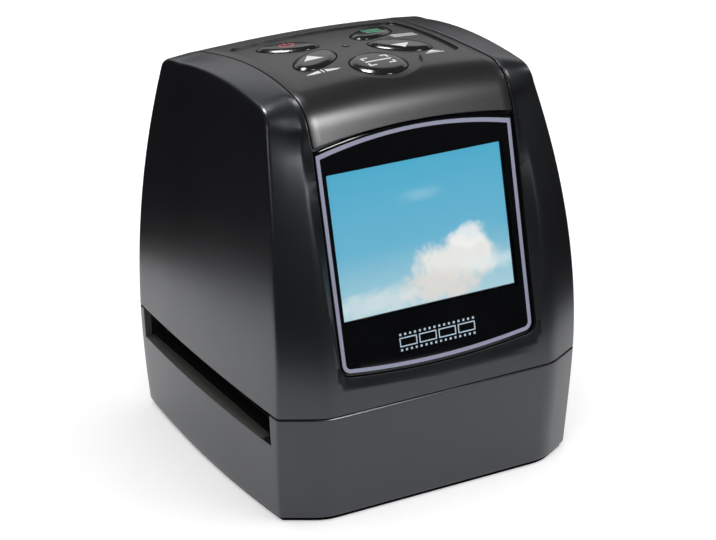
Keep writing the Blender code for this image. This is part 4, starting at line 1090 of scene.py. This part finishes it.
def fine_skin():
    """The upper casing's outer skin with eased creases, open at the parting line."""
    wrap = Wrap(*FINENESS)
    crease = wrap.crease()
    border = side_border(crease)
    sections = []
    for stops in zip(border, crease, wrap.edge(), wrap.ridge(), wrap.seam()):
        line = bent(stops, (CREASE_EASE, EDGE_EASE, RIDGE_EASE))
        sections.append(line + [Vector((0.0, line[-1].y, line[-1].z))])
    heights = len(wrap.heights)
    over = border[heights - 1 : 1 - heights]
    first_y, last_y = over[0][1], over[-1][1]
    shares = [0.0] + [(p[1] - first_y) / (last_y - first_y) for p in over[1:-1]] + [1.0]
    rows = []
    for front, rear in list(zip(border, reversed(border)))[:heights]:
        rows.append([on_wall(front, rear, share) for share in shares])
    wall_top = rows[-1]
    for step in (1, 2, 3):
        rows.append([on_wall(low, high, step / 3) for low, high in zip(wall_top, over)])
    bm = bmesh.new()
    for side in (1, -1):
        patch(bm, sections, side)
        patch(bm, rows, side)
    bmesh.ops.remove_doubles(bm, verts=bm.verts, dist=0.002)
    bmesh.ops.recalc_face_normals(bm, faces=bm.faces)
    return bm


def plain_skin():
    """The same casing with sharp creases and few faces, for the inside of the wall."""
    wrap = Wrap(*PLAIN_FINENESS)
    crease = wrap.crease()
    heights = len(wrap.heights)
    seam = wrap.seam()
    lines = (crease, wrap.edge(), wrap.ridge(), seam, [(0.0, y, z) for _, y, z in seam])
    over = crease[heights:-heights]
    shares = [i / (len(over) + 1) for i in range(len(over) + 2)]
    rows = []
    for front, rear in list(zip(crease, reversed(crease)))[:heights]:
        rows.append([on_wall(front, rear, share) for share in shares])
    last = rows[-1]
    bm = bmesh.new()
    for side in (1, -1):
        patch(bm, lines, side)
        patch(bm, rows, side)
        patch(bm, [last[1:-1], over], side)
        for corner in ((last[0], last[1], over[0]), (last[-1], over[-1], last[-2])):
            bm.faces.new([bm.verts.new((side * x, y, z)) for x, y, z in corner])
    bmesh.ops.remove_doubles(bm, verts=bm.verts, dist=0.001)
    bmesh.ops.recalc_face_normals(bm, faces=bm.faces)
    return bm


def filled(bm, inset=0.0, bottom=0.0):
    """The skin moved in by a wall's thickness and closed flat below."""
    bm.normal_update()
    inner = {vert: vert.co - vert.normal * vert.calc_shell_factor() * inset for vert in bm.verts}
    for vert, place in inner.items():
        vert.co = place
        if vert.is_boundary:
            vert.co.z -= bottom
    bmesh.ops.holes_fill(bm, edges=[edge for edge in bm.edges if edge.is_boundary])
    return bm


def swept(lines, section):
    """A shape along the cover's edge line. section gives its corners as places across and depths."""
    rings = []
    for i, (half, y, z) in enumerate(lines):
        run = heading(lines, i)
        rings.append([(x, y + run.y * depth, z - run.x * depth) for x, depth in section(half, y)])
    return loft(rings)


def over_the_top(parts, corner_count, top_count):
    """The cover's edge line from its front end to its back end."""
    wrap = Wrap(parts, corner_count, top_count)
    ends = next(i for i, z in enumerate(wrap.heights) if abs(z - COVER_STARTS_Z) < 0.001)
    return wrap.seam()[ends:-ends]


def pane_outline(inset, steps=16, corner_steps=8):
    """The pane's edge in its own plane, anticlockwise, as pairs of across and up."""
    points = []
    radius = PANE_CORNER - inset
    reach = PANE_HALF_BOTTOM - PANE_CORNER
    bottom = PANE_BOTTOM + inset
    for i in range(steps + 1):
        share = -1 + 2 * i / steps
        points.append((reach * share, bottom - PANE_BOTTOM_DROP * (1 - share * share)))
    half = []
    for i in range(1, corner_steps + 1):
        turn = math.radians(-90 + 90 * i / corner_steps)
        half.append((reach + radius * math.cos(turn), bottom + radius * (1 + math.sin(turn))))
    low = bottom + radius
    for i in range(1, steps + 1):
        share = i / steps
        across = PANE_HALF_BOTTOM + (PANE_HALF_TOP - PANE_HALF_BOTTOM) * share - inset
        half.append((across, low + (PANE_TOP - inset - low) * share))
    points += half
    for i in range(1, steps):
        share = 1 - 2 * i / steps
        rise = PANE_TOP_RISE * (1 - share * share)
        points.append(((PANE_HALF_TOP - inset) * share, PANE_TOP - inset + rise))
    points += [(-x, up) for x, up in reversed(half)]
    return points


def sill_cutter(steps=48):
    """What is cut below the pane, where the face rolls in to the pane's curved lower edge."""
    rings = []
    reach = PANE_HALF_BOTTOM - PANE_CORNER
    for i in range(steps + 1):
        x = SILL_HALF * (2 * i / steps - 1)
        corner = min(max(abs(x) - reach, 0.0), PANE_CORNER)
        share = min(abs(x) / reach, 1.0)
        edge = PANE_BOTTOM - PANE_BOTTOM_DROP * (1 - share * share)
        edge += PANE_CORNER - math.sqrt(PANE_CORNER**2 - corner**2)
        sill = SILL_V + SILL_RISE * (x / SILL_RUN) ** 2
        sill += SILL_END_RISE * (max(abs(x) - SILL_END, 0.0) / (SILL_HALF - SILL_END)) ** 2
        inner = Vector(on_window(x, edge, 0.1 + (BAY_RIM - 0.1) * (corner / PANE_CORNER) ** 2))
        outer = Vector(on_window(x, sill, 0.0))
        outer.y = face_y(outer.z)
        outer = inner + (outer - inner) * 1.3
        forward = Vector((0.0, -4.0, 0.0))
        rings.append([inner, outer, outer + forward, inner + forward])
    return loft(rings)


def ledge_cutter(side):
    """What is cut inside the wall for the ledge that carries one edge of the cover."""

    def section(half, _):
        return bar(side * LEDGE_FROM_X, LEDGE_DEPTH, side * (half + LEDGE_OVERLAP), -1.0)

    return swept(over_the_top(*PLAIN_FINENESS), section)


def upper_shell_mesh(look):
    room = piece("room", filled(plain_skin(), WALL, 8.0), look)
    carve(room, window_loft(pane_outline(-2.0), -4.2, 7.0))
    for side in (1, -1):
        carve(room, ledge_cutter(side))
    for x, y in POSTS:
        wall_y = FRONT_Y if y < 0 else BACK_Y
        front, rear = sorted((y, wall_y))
        carve(room, block((x - RIB_HALF, front, RIB_LOW), (x + RIB_HALF, rear, RIB_HIGH)))
        carve(room, round_bar(x, y, POST_RADIUS, POST_LOW, POST_HIGH))
    shell = piece("upper_shell_fine", filled(fine_skin()), look)
    combine(shell, room, "DIFFERENCE")
    carve(shell, swept(over_the_top(*FINENESS), lambda half, y: bar(-half, SEAT_DEPTH, half, -6.0)))
    carve(shell, sill_cutter())
    carve(shell, window_loft(pane_outline(-GAP), -PANE_THICK - GAP, 7.0))
    view = rounded(PANEL_HALF_X + VIEW_MARGIN, PANEL_HALF_UP + VIEW_MARGIN, 1.3, 0.0, PANEL_MIDDLE)
    carve(shell, window_loft(view, -9.0, 2.0))
    for x, y in POSTS:
        carve(shell, round_bar(x, y, SCREW_HOLE, 20.0, 40.0))
    for x, z, half, high in (USB_OPENING, CARD_OPENING):
        carve(shell, block((x - half, OPEN_BACK[0], z - high), (x + half, OPEN_BACK[1], z + high)))
    port = [[(px, y, pz) for px, pz in circle(TV_X, TV_Z, TV_RADIUS)] for y in OPEN_BACK]
    carve(shell, loft(port))
    return smoothed(shell)


upper_shell = upper_shell_mesh(satin_black)
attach(upper_shell, "housing")
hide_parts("upper_shell")

# Pane
# A clear plate, printed black behind all but the lit part of the display, in the shell's shallow seat.
# A silver line is printed round its border, and a strip of film stands under the picture.

PANE_EDGE = 0.3
LINE_OUTER = 0.75
LINE_WIDTH = 0.95
INK_THICK = 0.02
WINDOW_HALF_WIDTH = 24.1
WINDOW_HALF_HEIGHT = 18.0


def glossy_black():
    """Black print seen through a polished plate, with faint smears in its shine."""
    look, tree, shader = fresh("printed_pane")
    smears = noise(tree, place_on(tree), 70.0, 4.0, Distortion=0.8)
    blacks = ((0.0022, 0.0025, 0.003, 1.0), (0.0042, 0.0045, 0.0055, 1.0))
    inputs = varied(tree, smears, blacks, (0.05, 0.11), 0.01, 0.05)
    feed(tree, shader, {"Specular IOR Level": 0.3, **inputs})
    return look


def clear_plate():
    """Clear polished plastic, very slightly smoked and smeared."""
    look, tree, shader = fresh("clear_plate")
    smears = noise(tree, place_on(tree), 70.0, 4.0)
    clears = ((0.985, 0.99, 0.995, 1.0), (1.0, 1.0, 1.0, 1.0))
    inputs = varied(tree, smears, clears, (0.0, 0.012), 0.005, 0.03)
    feed(tree, shader, {"Transmission Weight": 1.0, "IOR": 1.49, "Specular IOR Level": 0.3, **inputs})
    return look


def ink(name, colour, roughness=0.4):
    """Screen-printed ink: even, with tiny pinholes of darker ground and a faint thickness to its edge."""
    look, tree, shader = fresh(name)
    grit = noise(tree, place_on(tree), 5200.0, 3.0)
    colours = (shade(colour), shade(colour, 0.6))
    inputs = varied(tree, grit, colours, (roughness - 0.06, roughness + 0.12), 0.005, 0.3)
    thin = ranged(tree, grit, 0.0, 1.0, 0.62, 0.8)
    feed(tree, inputs["Base Color"].node, {"Factor": thin})
    feed(tree, shader, inputs)
    return look


def pane_mesh(printed, clear):
    """The plate: two faces with the clear window let into each, joined round a softened edge."""
    bm = bmesh.new()
    window = rounded(WINDOW_HALF_WIDTH, WINDOW_HALF_HEIGHT, 0.4, LIT_MIDDLE_X, LIT_MIDDLE_UP, 3)
    rings = []
    for inset, out in ((0.0, -PANE_THICK), (0.0, -PANE_EDGE), (PANE_EDGE * 0.3, -0.08), (PANE_EDGE, 0.0)):
        rings.append([bm.verts.new(on_window(x, up, out)) for x, up in pane_outline(inset)])
    count = len(rings[0])
    for lower, upper in zip(rings, rings[1:]):
        for i in range(count):
            j = (i + 1) % count
            bm.faces.new((lower[i], lower[j], upper[j], upper[i]))
    clear_faces = []
    for ring, out in ((rings[0], -PANE_THICK), (rings[-1], 0.0)):
        hole = [bm.verts.new(on_window(x, up, out)) for x, up in window]
        edges = [bm.edges.get((a, b)) for a, b in zip(ring, ring[1:] + ring[:1])]
        edges += [bm.edges.new((a, b)) for a, b in zip(hole, hole[1:] + hole[:1])]
        bmesh.ops.triangle_fill(bm, edges=edges, use_beauty=True)
        clear_faces.append(bm.faces.new(hole))
    bmesh.ops.recalc_face_normals(bm, faces=bm.faces)
    for face in clear_faces:
        face.material_index = 1
    made = piece("display_pane_fine", bm, printed)
    made.data.materials.append(clear)
    return smoothed(made)


def slab(name, faces, place, look, thick=INK_THICK, cuts=0):
    """A thin printed mark: flat faces laid on a surface, with a little thickness into it."""
    bm = bmesh.new()
    for face in faces:
        bm.faces.new([bm.verts.new((x, y, 0.0)) for x, y in face])
    bmesh.ops.remove_doubles(bm, verts=bm.verts, dist=0.001)
    if cuts:
        bmesh.ops.subdivide_edges(bm, edges=bm.edges, cuts=cuts, use_grid_fill=True)
    top = list(bm.faces)
    under = bmesh.ops.extrude_face_region(bm, geom=top)["geom"]
    lower = {v for v in under if isinstance(v, bmesh.types.BMVert)}
    for vert in bm.verts:
        vert.co = place(vert.co.x, vert.co.y, -thick if vert in lower else thick)
    return piece(name, bm, look)


def ring_faces(outer, inner):
    """Faces between two closed lines with the same number of points."""
    count = len(outer)
    steps = range(count)
    return [(outer[i], outer[(i + 1) % count], inner[(i + 1) % count], inner[i]) for i in steps]


pane = pane_mesh(glossy_black(), clear_plate())
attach(pane, "housing")
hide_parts("display_pane")

silver_ink = ink("silver_ink", (0.30, 0.31, 0.42), 0.35)
silver_line = slab(
    "pane_silver_line",
    ring_faces(pane_outline(LINE_OUTER), pane_outline(LINE_OUTER + LINE_WIDTH)),
    on_window,
    silver_ink,
)
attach(silver_line, "housing")

# Film strip mark
# A little strip of film printed in pale blue ink under the picture: four frames between two rows of holes.
# The holes are small squares at an even pitch, and the frames are thin outlines.

STRIP_UP = -26.0
STRIP_HALF_LENGTH = 10.8
STRIP_HALF_HEIGHT = 1.9
HOLE_PITCH = 1.35
HOLE_SIDE = 0.55
FRAME_COUNT = 4
FRAME_LINE = 0.28
FRAME_GAP = 0.3
FRAME_MARGIN = 0.75


def hole_tree(look):
    """A square on every point of the mesh."""
    tree, given, out = tree_of("film_holes", ("Side",))
    inputs = {"X": given["Side"], "Y": 2 * INK_THICK * MM, "Z": given["Side"]}
    size = add(tree, "ShaderNodeCombineXYZ", "Vector", inputs)
    square = add(tree, "GeometryNodeMeshCube", "Mesh", {"Size": size})
    return repeated(tree, given, out, square, look, (-WINDOW_TILT, 0.0, 0.0))


pale_ink = ink("pale_blue_ink", (0.45, 0.56, 0.66), 0.4)
hole_count = int(2 * STRIP_HALF_LENGTH / HOLE_PITCH)
hole_places = []
for row in (-1, 1):
    for i in range(hole_count):
        across = (i - (hole_count - 1) / 2) * HOLE_PITCH
        hole_places.append(on_window(across, STRIP_UP + row * STRIP_HALF_HEIGHT, 0.0))
film_holes = points_object("film_strip_holes", hole_places)
grown_mesh(film_holes, hole_tree(pale_ink), {"Side": HOLE_SIDE})
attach(film_holes, "housing")

frame_faces = []
inner_high = STRIP_HALF_HEIGHT - FRAME_MARGIN
frame_step = 2 * STRIP_HALF_LENGTH / FRAME_COUNT
for i in range(FRAME_COUNT):
    left = -STRIP_HALF_LENGTH + frame_step * i + FRAME_GAP
    right = left + frame_step - 2 * FRAME_GAP
    outline = bar(left, -inner_high, right, inner_high)
    opening = bar(left + FRAME_LINE, FRAME_LINE - inner_high, right - FRAME_LINE, inner_high - FRAME_LINE)
    frame_faces += ring_faces(outline, opening)
film_frames = slab(
    "film_strip_frames", frame_faces, lambda x, y, out: on_window(x, y + STRIP_UP, out), pale_ink
)
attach(film_frames, "housing")

# Key board
# The board under the cover with five small switches and the status light between the upper keys.
# They lie out of sight under the keys and keep their CAD shapes.

KEY_NAMES = ("power", "menu", "left", "right", "scan")
finish_nodes(green_board, "key_board")
finish_nodes(bright_steel, "key_board_screw_left", "key_board_screw_right")
finish_nodes(chip_epoxy, *[f"{name}_switch" for name in KEY_NAMES])
finish_nodes(moulded_white, *[f"{name}_plunger" for name in KEY_NAMES])
smoked_lens = moulded("smoked_lens", (0.012, 0.013, 0.015), 0.15, 0.3, 0.003)
finish_nodes(smoked_lens, "status_led")

# Top cover
# One moulding from the brow above the display over the top to the back, in slightly finer satin plastic.
# It is swept along the casing's edge line, then cut for the lip, the shallow key panel and the five keys.

COVER_THICK = 1.9
SEAM_GAP = 0.35
LIP_HALF = 30.0
LIP_STEPS = 24
LIP_TOP = 26.6
LIP_DROP = 2.7
RECESS_DEPTH = 0.6
RECESS_HALF = 23.5
RECESS_BACK_Y = 20.0
RECESS_SHOULDER_Y = -16.5
RECESS_LOBE_Y = -15.2
RECESS_LOBE_RADIUS = 11.4
KEYS = {
    "power": (-11.8, 9.2, 7.8, 4.35, -37.0),
    "menu": (11.8, 9.2, 7.8, 4.35, 37.0),
    "left": (-11.8, -5.9, 8.0, 4.6, 41.5),
    "right": (11.8, -5.9, 8.0, 4.6, -41.5),
    "scan": (0.0, -16.5, 6.8, 7.7, 0.0),
}
KEY_GAP = 0.3
LIGHT_Y = 0.4
LIGHT_RADIUS = 0.9
BOARD_TOP = 94.6
THROUGH_TOP = (90.0, 112.0)
BOARD_SCREWS = ((-19.0, -17.0), (19.0, -17.0))
BOSS_RADIUS = 1.9
BOSS_HOLE = 0.75
BOSS_SUNK = 0.6
EDGE_ROUND = 0.3
EDGE_MIDDLE = 0.09
SHEET_ROWS = 46
SHEET_START_Y = -32.0
SHEET_STEP_Y = 1.25
SHEET_COLUMNS = 12
SHEET_STEP_X = 2.4


def oval(x, y, long, short, turn, count=64):
    """An oval whose long axis is turned anticlockwise from X by an angle in degrees."""
    cosine, sine = math.cos(math.radians(turn)), math.sin(math.radians(turn))
    points = []
    for i in range(count):
        angle = math.tau * i / count
        a, b = long * math.cos(angle), short * math.sin(angle)
        points.append((x + a * cosine - b * sine, y + a * sine + b * cosine))
    return points


def cover_z(x, y):
    """Height of the cover's outer face over the top."""
    return top_seam_z(y) + crown(x, y)


def panel_sheet(outline, depth, look):
    """Everything inside the outline above a sheet this far under the cover's skin."""
    hollow = piece("hollow", prism(outline, *THROUGH_TOP), look)
    rings = []
    across = [SHEET_STEP_X * k for k in range(-SHEET_COLUMNS, SHEET_COLUMNS + 1)]
    for i in range(SHEET_ROWS):
        y = SHEET_START_Y + SHEET_STEP_Y * i
        sheet = [(x, y, cover_z(x, y) - depth) for x in across]
        rings.append(sheet + [(across[-1], y, THROUGH_TOP[1]), (across[0], y, THROUGH_TOP[1])])
    combine(hollow, piece("above", loft(rings), look), "INTERSECT")
    return hollow


def cover_section(half, y, columns=12):
    """The cover's cross section, as places across and depths under the skin, with eased upper edges."""
    half -= SEAM_GAP
    under = [(half * k / columns, COVER_THICK) for k in range(-columns, columns + 1)]
    rim = [(half, EDGE_ROUND), (half - EDGE_MIDDLE, EDGE_MIDDLE)]
    top = [((half - EDGE_ROUND) * k / columns, 0.0) for k in range(columns, -columns - 1, -1)]
    outline = under + rim + top + [(-x, depth) for x, depth in reversed(rim)]
    return [(x, depth - crown(x, y)) for x, depth in outline]


def top_cover_mesh(look):
    cover = piece("top_cover_fine", swept(over_the_top(*FINENESS), cover_section), look)
    below = [(-LIP_HALF, -5.0), (LIP_HALF, -5.0)]
    for i in range(2 * LIP_STEPS + 1):
        share = 1 - i / LIP_STEPS
        below.append((LIP_HALF * share, LIP_TOP - LIP_DROP * share * share))
    carve(cover, window_loft(below, -9.0, 9.0))
    carve(cover, block((-BEYOND_SIDE, 20.0, 60.0), (BEYOND_SIDE, 60.0, COVER_STARTS_Z + SEAM_GAP)))
    middle = (RECESS_BACK_Y + RECESS_SHOULDER_Y) / 2
    half_depth = (RECESS_BACK_Y - RECESS_SHOULDER_Y) / 2
    for outline in (
        rounded(RECESS_HALF, half_depth, 2.5, 0.0, middle),
        circle(0.0, RECESS_LOBE_Y, RECESS_LOBE_RADIUS, 96),
    ):
        combine(cover, panel_sheet(outline, RECESS_DEPTH, look), "DIFFERENCE")
    for x, y, long, short, turn in KEYS.values():
        carve(cover, prism(oval(x, y, long + KEY_GAP, short + KEY_GAP, turn), *THROUGH_TOP))
    carve(cover, prism(circle(0.0, LIGHT_Y, LIGHT_RADIUS + 0.1), *THROUGH_TOP))
    for x, y in BOARD_SCREWS:
        top = cover_z(x, y) - COVER_THICK + BOSS_SUNK
        join(cover, round_bar(x, y, BOSS_RADIUS, BOARD_TOP + GAP, top))
        carve(cover, round_bar(x, y, BOSS_HOLE, THROUGH_TOP[0], top - 2 * BOSS_SUNK))
    return smoothed(cover)


satin_cover = moulded("satin_cover", (0.013, 0.0132, 0.0142), 0.33, 0.3, 0.018, shine=0.6)
top_cover = top_cover_mesh(satin_cover)
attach(top_cover, "housing")
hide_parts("top_cover")

# Keys
# Five nearly flush keys in polished black, each with a rolled edge, a flange under the cover and a stem.
# The signs on them are printed, and so are the small signs beside three of them on the cover.

KEY_EDGE_RISE = 0.1
KEY_RISE = 0.75
KEY_ROLL = 1.4
KEY_DOME = 0.04
KEY_RIM = (0.0, 0.05, 0.12, 0.22, 0.35, 0.52, 0.74, 1.0, 1.4)
KEY_MIDDLE = (0.45, 0.6, 0.75, 0.9)
KEY_FLANGE = 0.8
KEY_FLANGE_THICK = 0.9
STEM_RADIUS = 1.6
SWITCH_HEIGHT = 2.2
PLUNGER_RISE = 0.8
KEY_INK_THICK = 0.03


def key_rise(inset, short):
    """How far a key stands above the sunk panel, this far inside its edge."""
    roll = 1 - (1 - min(inset / KEY_ROLL, 1.0)) ** 1.5
    return KEY_EDGE_RISE + (KEY_RISE - KEY_EDGE_RISE) * roll + KEY_DOME * eased(inset / (0.7 * short))


def key_top(x, y, name):
    """Height of a key's top at a place on it."""
    kx, ky, long, short, turn = KEYS[name]
    cosine, sine = math.cos(math.radians(turn)), math.sin(math.radians(turn))
    along = (x - kx) * cosine + (y - ky) * sine
    across = (y - ky) * cosine - (x - kx) * sine
    near, far = 0.0, min(long, short) * 0.98
    for _ in range(16):
        inset = (near + far) / 2
        if math.hypot(along / (long - inset), across / (short - inset)) < 1.0:
            near = inset
        else:
            far = inset
    return cover_z(x, y) - RECESS_DEPTH + key_rise(near, short)


def key_mesh(name, look):
    x, y, long, short, turn = KEYS[name]
    under = COVER_THICK + GAP
    rings = []
    for extra, depth in ((KEY_FLANGE, under + KEY_FLANGE_THICK), (KEY_FLANGE, under), (0.0, under)):
        ring = oval(x, y, long + extra, short + extra, turn)
        rings.append([(px, py, cover_z(px, py) - depth) for px, py in ring])
    for inset in (*KEY_RIM, *(min(long, short) * share for share in KEY_MIDDLE)):
        ring = oval(x, y, long - inset, short - inset, turn)
        depth = RECESS_DEPTH - key_rise(inset, short)
        rings.append([(px, py, cover_z(px, py) - depth) for px, py in ring])
    key = piece(f"{name}_key_fine", loft(rings), look)
    low = BOARD_TOP + GAP + SWITCH_HEIGHT + PLUNGER_RISE + 2 * GAP
    join(key, round_bar(x, y, STEM_RADIUS, low, cover_z(x, y) - under - 0.2))
    return smoothed(key, 40.0)


polished_black = moulded("polished_black", (0.014, 0.014, 0.015), 0.16, 0.5, 0.002)
for key_name in KEY_NAMES:
    key = key_mesh(key_name, polished_black)
    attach(key, f"{key_name}_button")
    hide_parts(f"{key_name}_key")


def arc_band(x, y, radius, width, start, end, count=28):
    """A band along a circle, between two angles in degrees."""
    lines = []
    for reach in (radius - width / 2, radius + width / 2):
        turns = [math.radians(start + (end - start) * i / count) for i in range(count + 1)]
        lines.append([(x + reach * math.cos(turn), y + reach * math.sin(turn)) for turn in turns])
    inner, outer = lines
    return list(zip(inner, inner[1:], outer[1:], outer))


def arrowhead(x, y, half_width, height, sideways=False):
    """A triangle that points away from the middle of its base, cut into strips."""
    faces = []
    strips = 5
    for i in range(strips):
        wide, narrow = half_width * (1 - i / strips), half_width * (1 - (i + 1) / strips)
        low, high = height * i / strips, height * (i + 1) / strips
        corners = [(-wide, low), (wide, low), (narrow, high)]
        if narrow:
            corners.append((-narrow, high))
        faces.append(tuple((x + v, y + u) if sideways else (x + u, y + v) for u, v in corners))
    return faces


def stroke(x0, y0, x1, y1):
    """A printed stroke between two opposite corners, in any order."""
    return bar(min(x0, x1), min(y0, y1), max(x0, x1), max(y0, y1))


def key_mark(name, key_name, faces, look):
    """A sign printed on a key's dome."""

    def place(x, y, out):
        return (x, y, key_top(x, y, key_name) + out)

    mark = slab(name, faces, place, look, KEY_INK_THICK, 3)
    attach(mark, f"{key_name}_button")


def cover_mark(name, faces, look):
    """A sign printed on the sunk panel of the cover."""

    def place(x, y, out):
        return (x, y, cover_z(x, y) - RECESS_DEPTH + out)

    mark = slab(name, faces, place, look, INK_THICK, 2)
    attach(mark, "housing")


white_ink = ink("white_ink", (0.84, 0.84, 0.84))
red_ink = ink("red_ink", (0.62, 0.06, 0.11))
green_ink = ink("green_ink", (0.10, 0.36, 0.22))
power_faces = arc_band(-12.0, 9.3, 1.75, 0.5, 125.0, 415.0) + [bar(-12.25, 9.4, -11.75, 11.6)]
key_mark("power_sign", "power", power_faces, red_ink)
key_mark("menu_sign", "menu", [bar(9.4, 6.9 + i * 1.5, 14.4, 7.7 + i * 1.5) for i in range(3)], green_ink)
key_mark("left_arrow", "left", arrowhead(-12.8, -7.3, 2.6, 3.6), white_ink)
key_mark("right_arrow", "right", arrowhead(11.2, -6.9, 2.5, -3.0), white_ink)
corners = []
for side in (-1, 1):
    for end in (-1, 1):
        x, y = side * 3.6, -16.4 + end * 2.9
        corners.append(stroke(x, y, x - side * 1.9, y - end * 0.6))
        corners.append(stroke(x, y - end * 0.62, x - side * 0.55, y - end * 1.7))
key_mark("scan_sign", "scan", corners + [stroke(-3.6, -16.7, 3.6, -16.1)], white_ink)
mirrored = arrowhead(-14.8, -14.6, 1.3, -3.9, True) + arrowhead(-13.2, -14.6, 1.3, 3.9, True)
cover_mark("mirror_sign", mirrored + [stroke(-14.2, -16.2, -13.8, -13.0)], white_ink)
flipped = arrowhead(16.8, -14.1, 1.9, 1.5) + arrowhead(16.8, -15.1, 1.9, -1.5)
cover_mark("flip_sign", flipped + [stroke(14.2, -14.8, 19.4, -14.4)], white_ink)
cover_mark("list_sign", [stroke(14.6, 2.2 + i * 1.1, 21.4, 2.7 + i * 1.1) for i in range(3)], white_ink)

# Cables
# Three flat cables from the display, the keys and the lamp to the main board, in amber film.
# They run inside the casing and keep their CAD shapes.

amber_film = moulded("amber_film", (0.62, 0.33, 0.07), 0.35, 0.8, 0.01)
finish_nodes(amber_film, "display_cable", "key_cable", "lamp_cable")

# Floor and lights
# A plain white table under broad soft lamps from above, left and right, and smaller soft lamps whose shine
# shows on the curves. A black card round the set keeps the upper sides' shine dark, and a black sheet under
# the scanner paints its contact shadow dark.

FLOOR_HALF = 20.0
CARD_HOLE = 0.155
CARD_REACH = 25.0
CARD_SIDES = 48


def stage_mesh(name, points, faces, look):
    """A flat mesh that belongs to the studio."""
    mesh = bpy.data.meshes.new(name)
    mesh.from_pydata(points, [], faces)
    mesh.materials.append(look)
    made = new_object(name, mesh)
    return made


def matt(name, colour):
    look, tree, shader = fresh(name)
    feed(tree, shader, {"Base Color": shade(colour), "Roughness": 0.9, "Specular IOR Level": 0.0})
    return look


def table_white(seen, mirrored):
    """White that takes the scanner's shadow, lifted this much where it is seen and where it is mirrored."""
    look = matt("table_white", (0.97, 0.97, 0.97))
    tree = look.node_tree
    ray = tree.nodes.new("ShaderNodeLightPath").outputs
    lift = 0.0
    for kind, level in (("Is Camera Ray", seen), ("Is Glossy Ray", mirrored), ("Is Transmission Ray", seen)):
        lift = maths(tree, "MULTIPLY_ADD", ray[kind], level, lift)
    inputs = {"Emission Color": (1.0, 1.0, 1.0, 1.0), "Emission Strength": lift}
    feed(tree, tree.nodes["Principled BSDF"], inputs)
    return look


table_corners = [(x * FLOOR_HALF, y * FLOOR_HALF, 0.0) for x, y in ((-1, -1), (1, -1), (1, 1), (-1, 1))]
stage_mesh("floor", table_corners, [(0, 1, 2, 3)], table_white(0.26, 0.22))
# A black sheet in the scanner's footprint, seen through the gap under its edge, is a painted contact shadow.
shadow_card_points = [(x * MM, y * MM, 0.02 * MM) for x, y in base_outline(BASE_BOTTOM, 0.9)]
stage_mesh("painted_shadow_card", shadow_card_points, [range(len(shadow_card_points))], matt("painted_shadow_black", (0.02, 0.02, 0.02)))
card_points = []
for radius in (CARD_HOLE, CARD_REACH):
    card_points += [(x, y, 0.001) for x, y in circle(-0.01, 0.008, radius, CARD_SIDES)]
card_faces = []
for i in range(CARD_SIDES):
    j = (i + 1) % CARD_SIDES
    card_faces.append((i, j, CARD_SIDES + j, CARD_SIDES + i))
card = stage_mesh("black_card", card_points, card_faces, matt("card_black", (0.004, 0.004, 0.004)))
card.visible_camera = False
card.visible_diffuse = False
card.visible_shadow = False


def sun(name, turn, strength, spread):
    """Broad soft light from far away, along its own -Z after these turns in degrees."""
    data = bpy.data.lights.new(name, "SUN")
    data.energy = strength
    data.angle = math.radians(spread)
    made = new_object(name, data)
    made.rotation_euler = [math.radians(angle) for angle in turn]
    made.visible_glossy = False


def soft_lamp(name, place, aim, width, height, strength):
    """A small soft lamp that adds its shine to the curves."""
    data = bpy.data.lights.new(name, "AREA")
    data.shape = "RECTANGLE"
    data.size = width
    data.size_y = height
    data.energy = strength * math.pi * width * height
    made = new_object(name, data)
    turn = (Vector(aim) - Vector(place)).to_track_quat("-Z", "Y")
    made.matrix_world = Matrix.Translation(place) @ turn.to_matrix().to_4x4()
    made.visible_camera = False
    made.visible_diffuse = False


sun("overhead_light", (-15.0, 5.0, 0.0), 1.6, 90.0)
sun("left_light", (35.0, -40.0, 0.0), 1.3, 60.0)
sun("right_light", (30.0, 40.0, 0.0), 1.0, 60.0)
soft_lamp("front_lamp", (0.055, -0.240, 0.250), (-0.02, -0.034, 0.095), 0.06, 0.09, 40.0)
soft_lamp("left_lamp", (-0.50, -0.12, 0.22), (-0.04, -0.03, 0.095), 0.06, 0.04, 24.0)
soft_lamp("right_lamp", (0.47, 0.01, 0.35), (0.04, -0.03, 0.095), 0.05, 0.05, 30.0)
soft_lamp("key_lamp", (-0.13, 0.18, 0.58), (0.0, 0.0, 0.1), 0.16, 0.16, 40.0)
soft_lamp("back_lamp", (0.45, 1.0, 0.55), (0.0, 0.0, 0.1), 1.6, 0.5, 0.75)

world = bpy.data.worlds.new("room")
world.use_nodes = True
world.node_tree.nodes["Background"].inputs["Color"].default_value = (0.9, 0.93, 1.0, 1.0)
world.node_tree.nodes["Background"].inputs["Strength"].default_value = 0.03
bpy.context.scene.world = world
bpy.context.scene.view_settings.view_transform = "Standard"
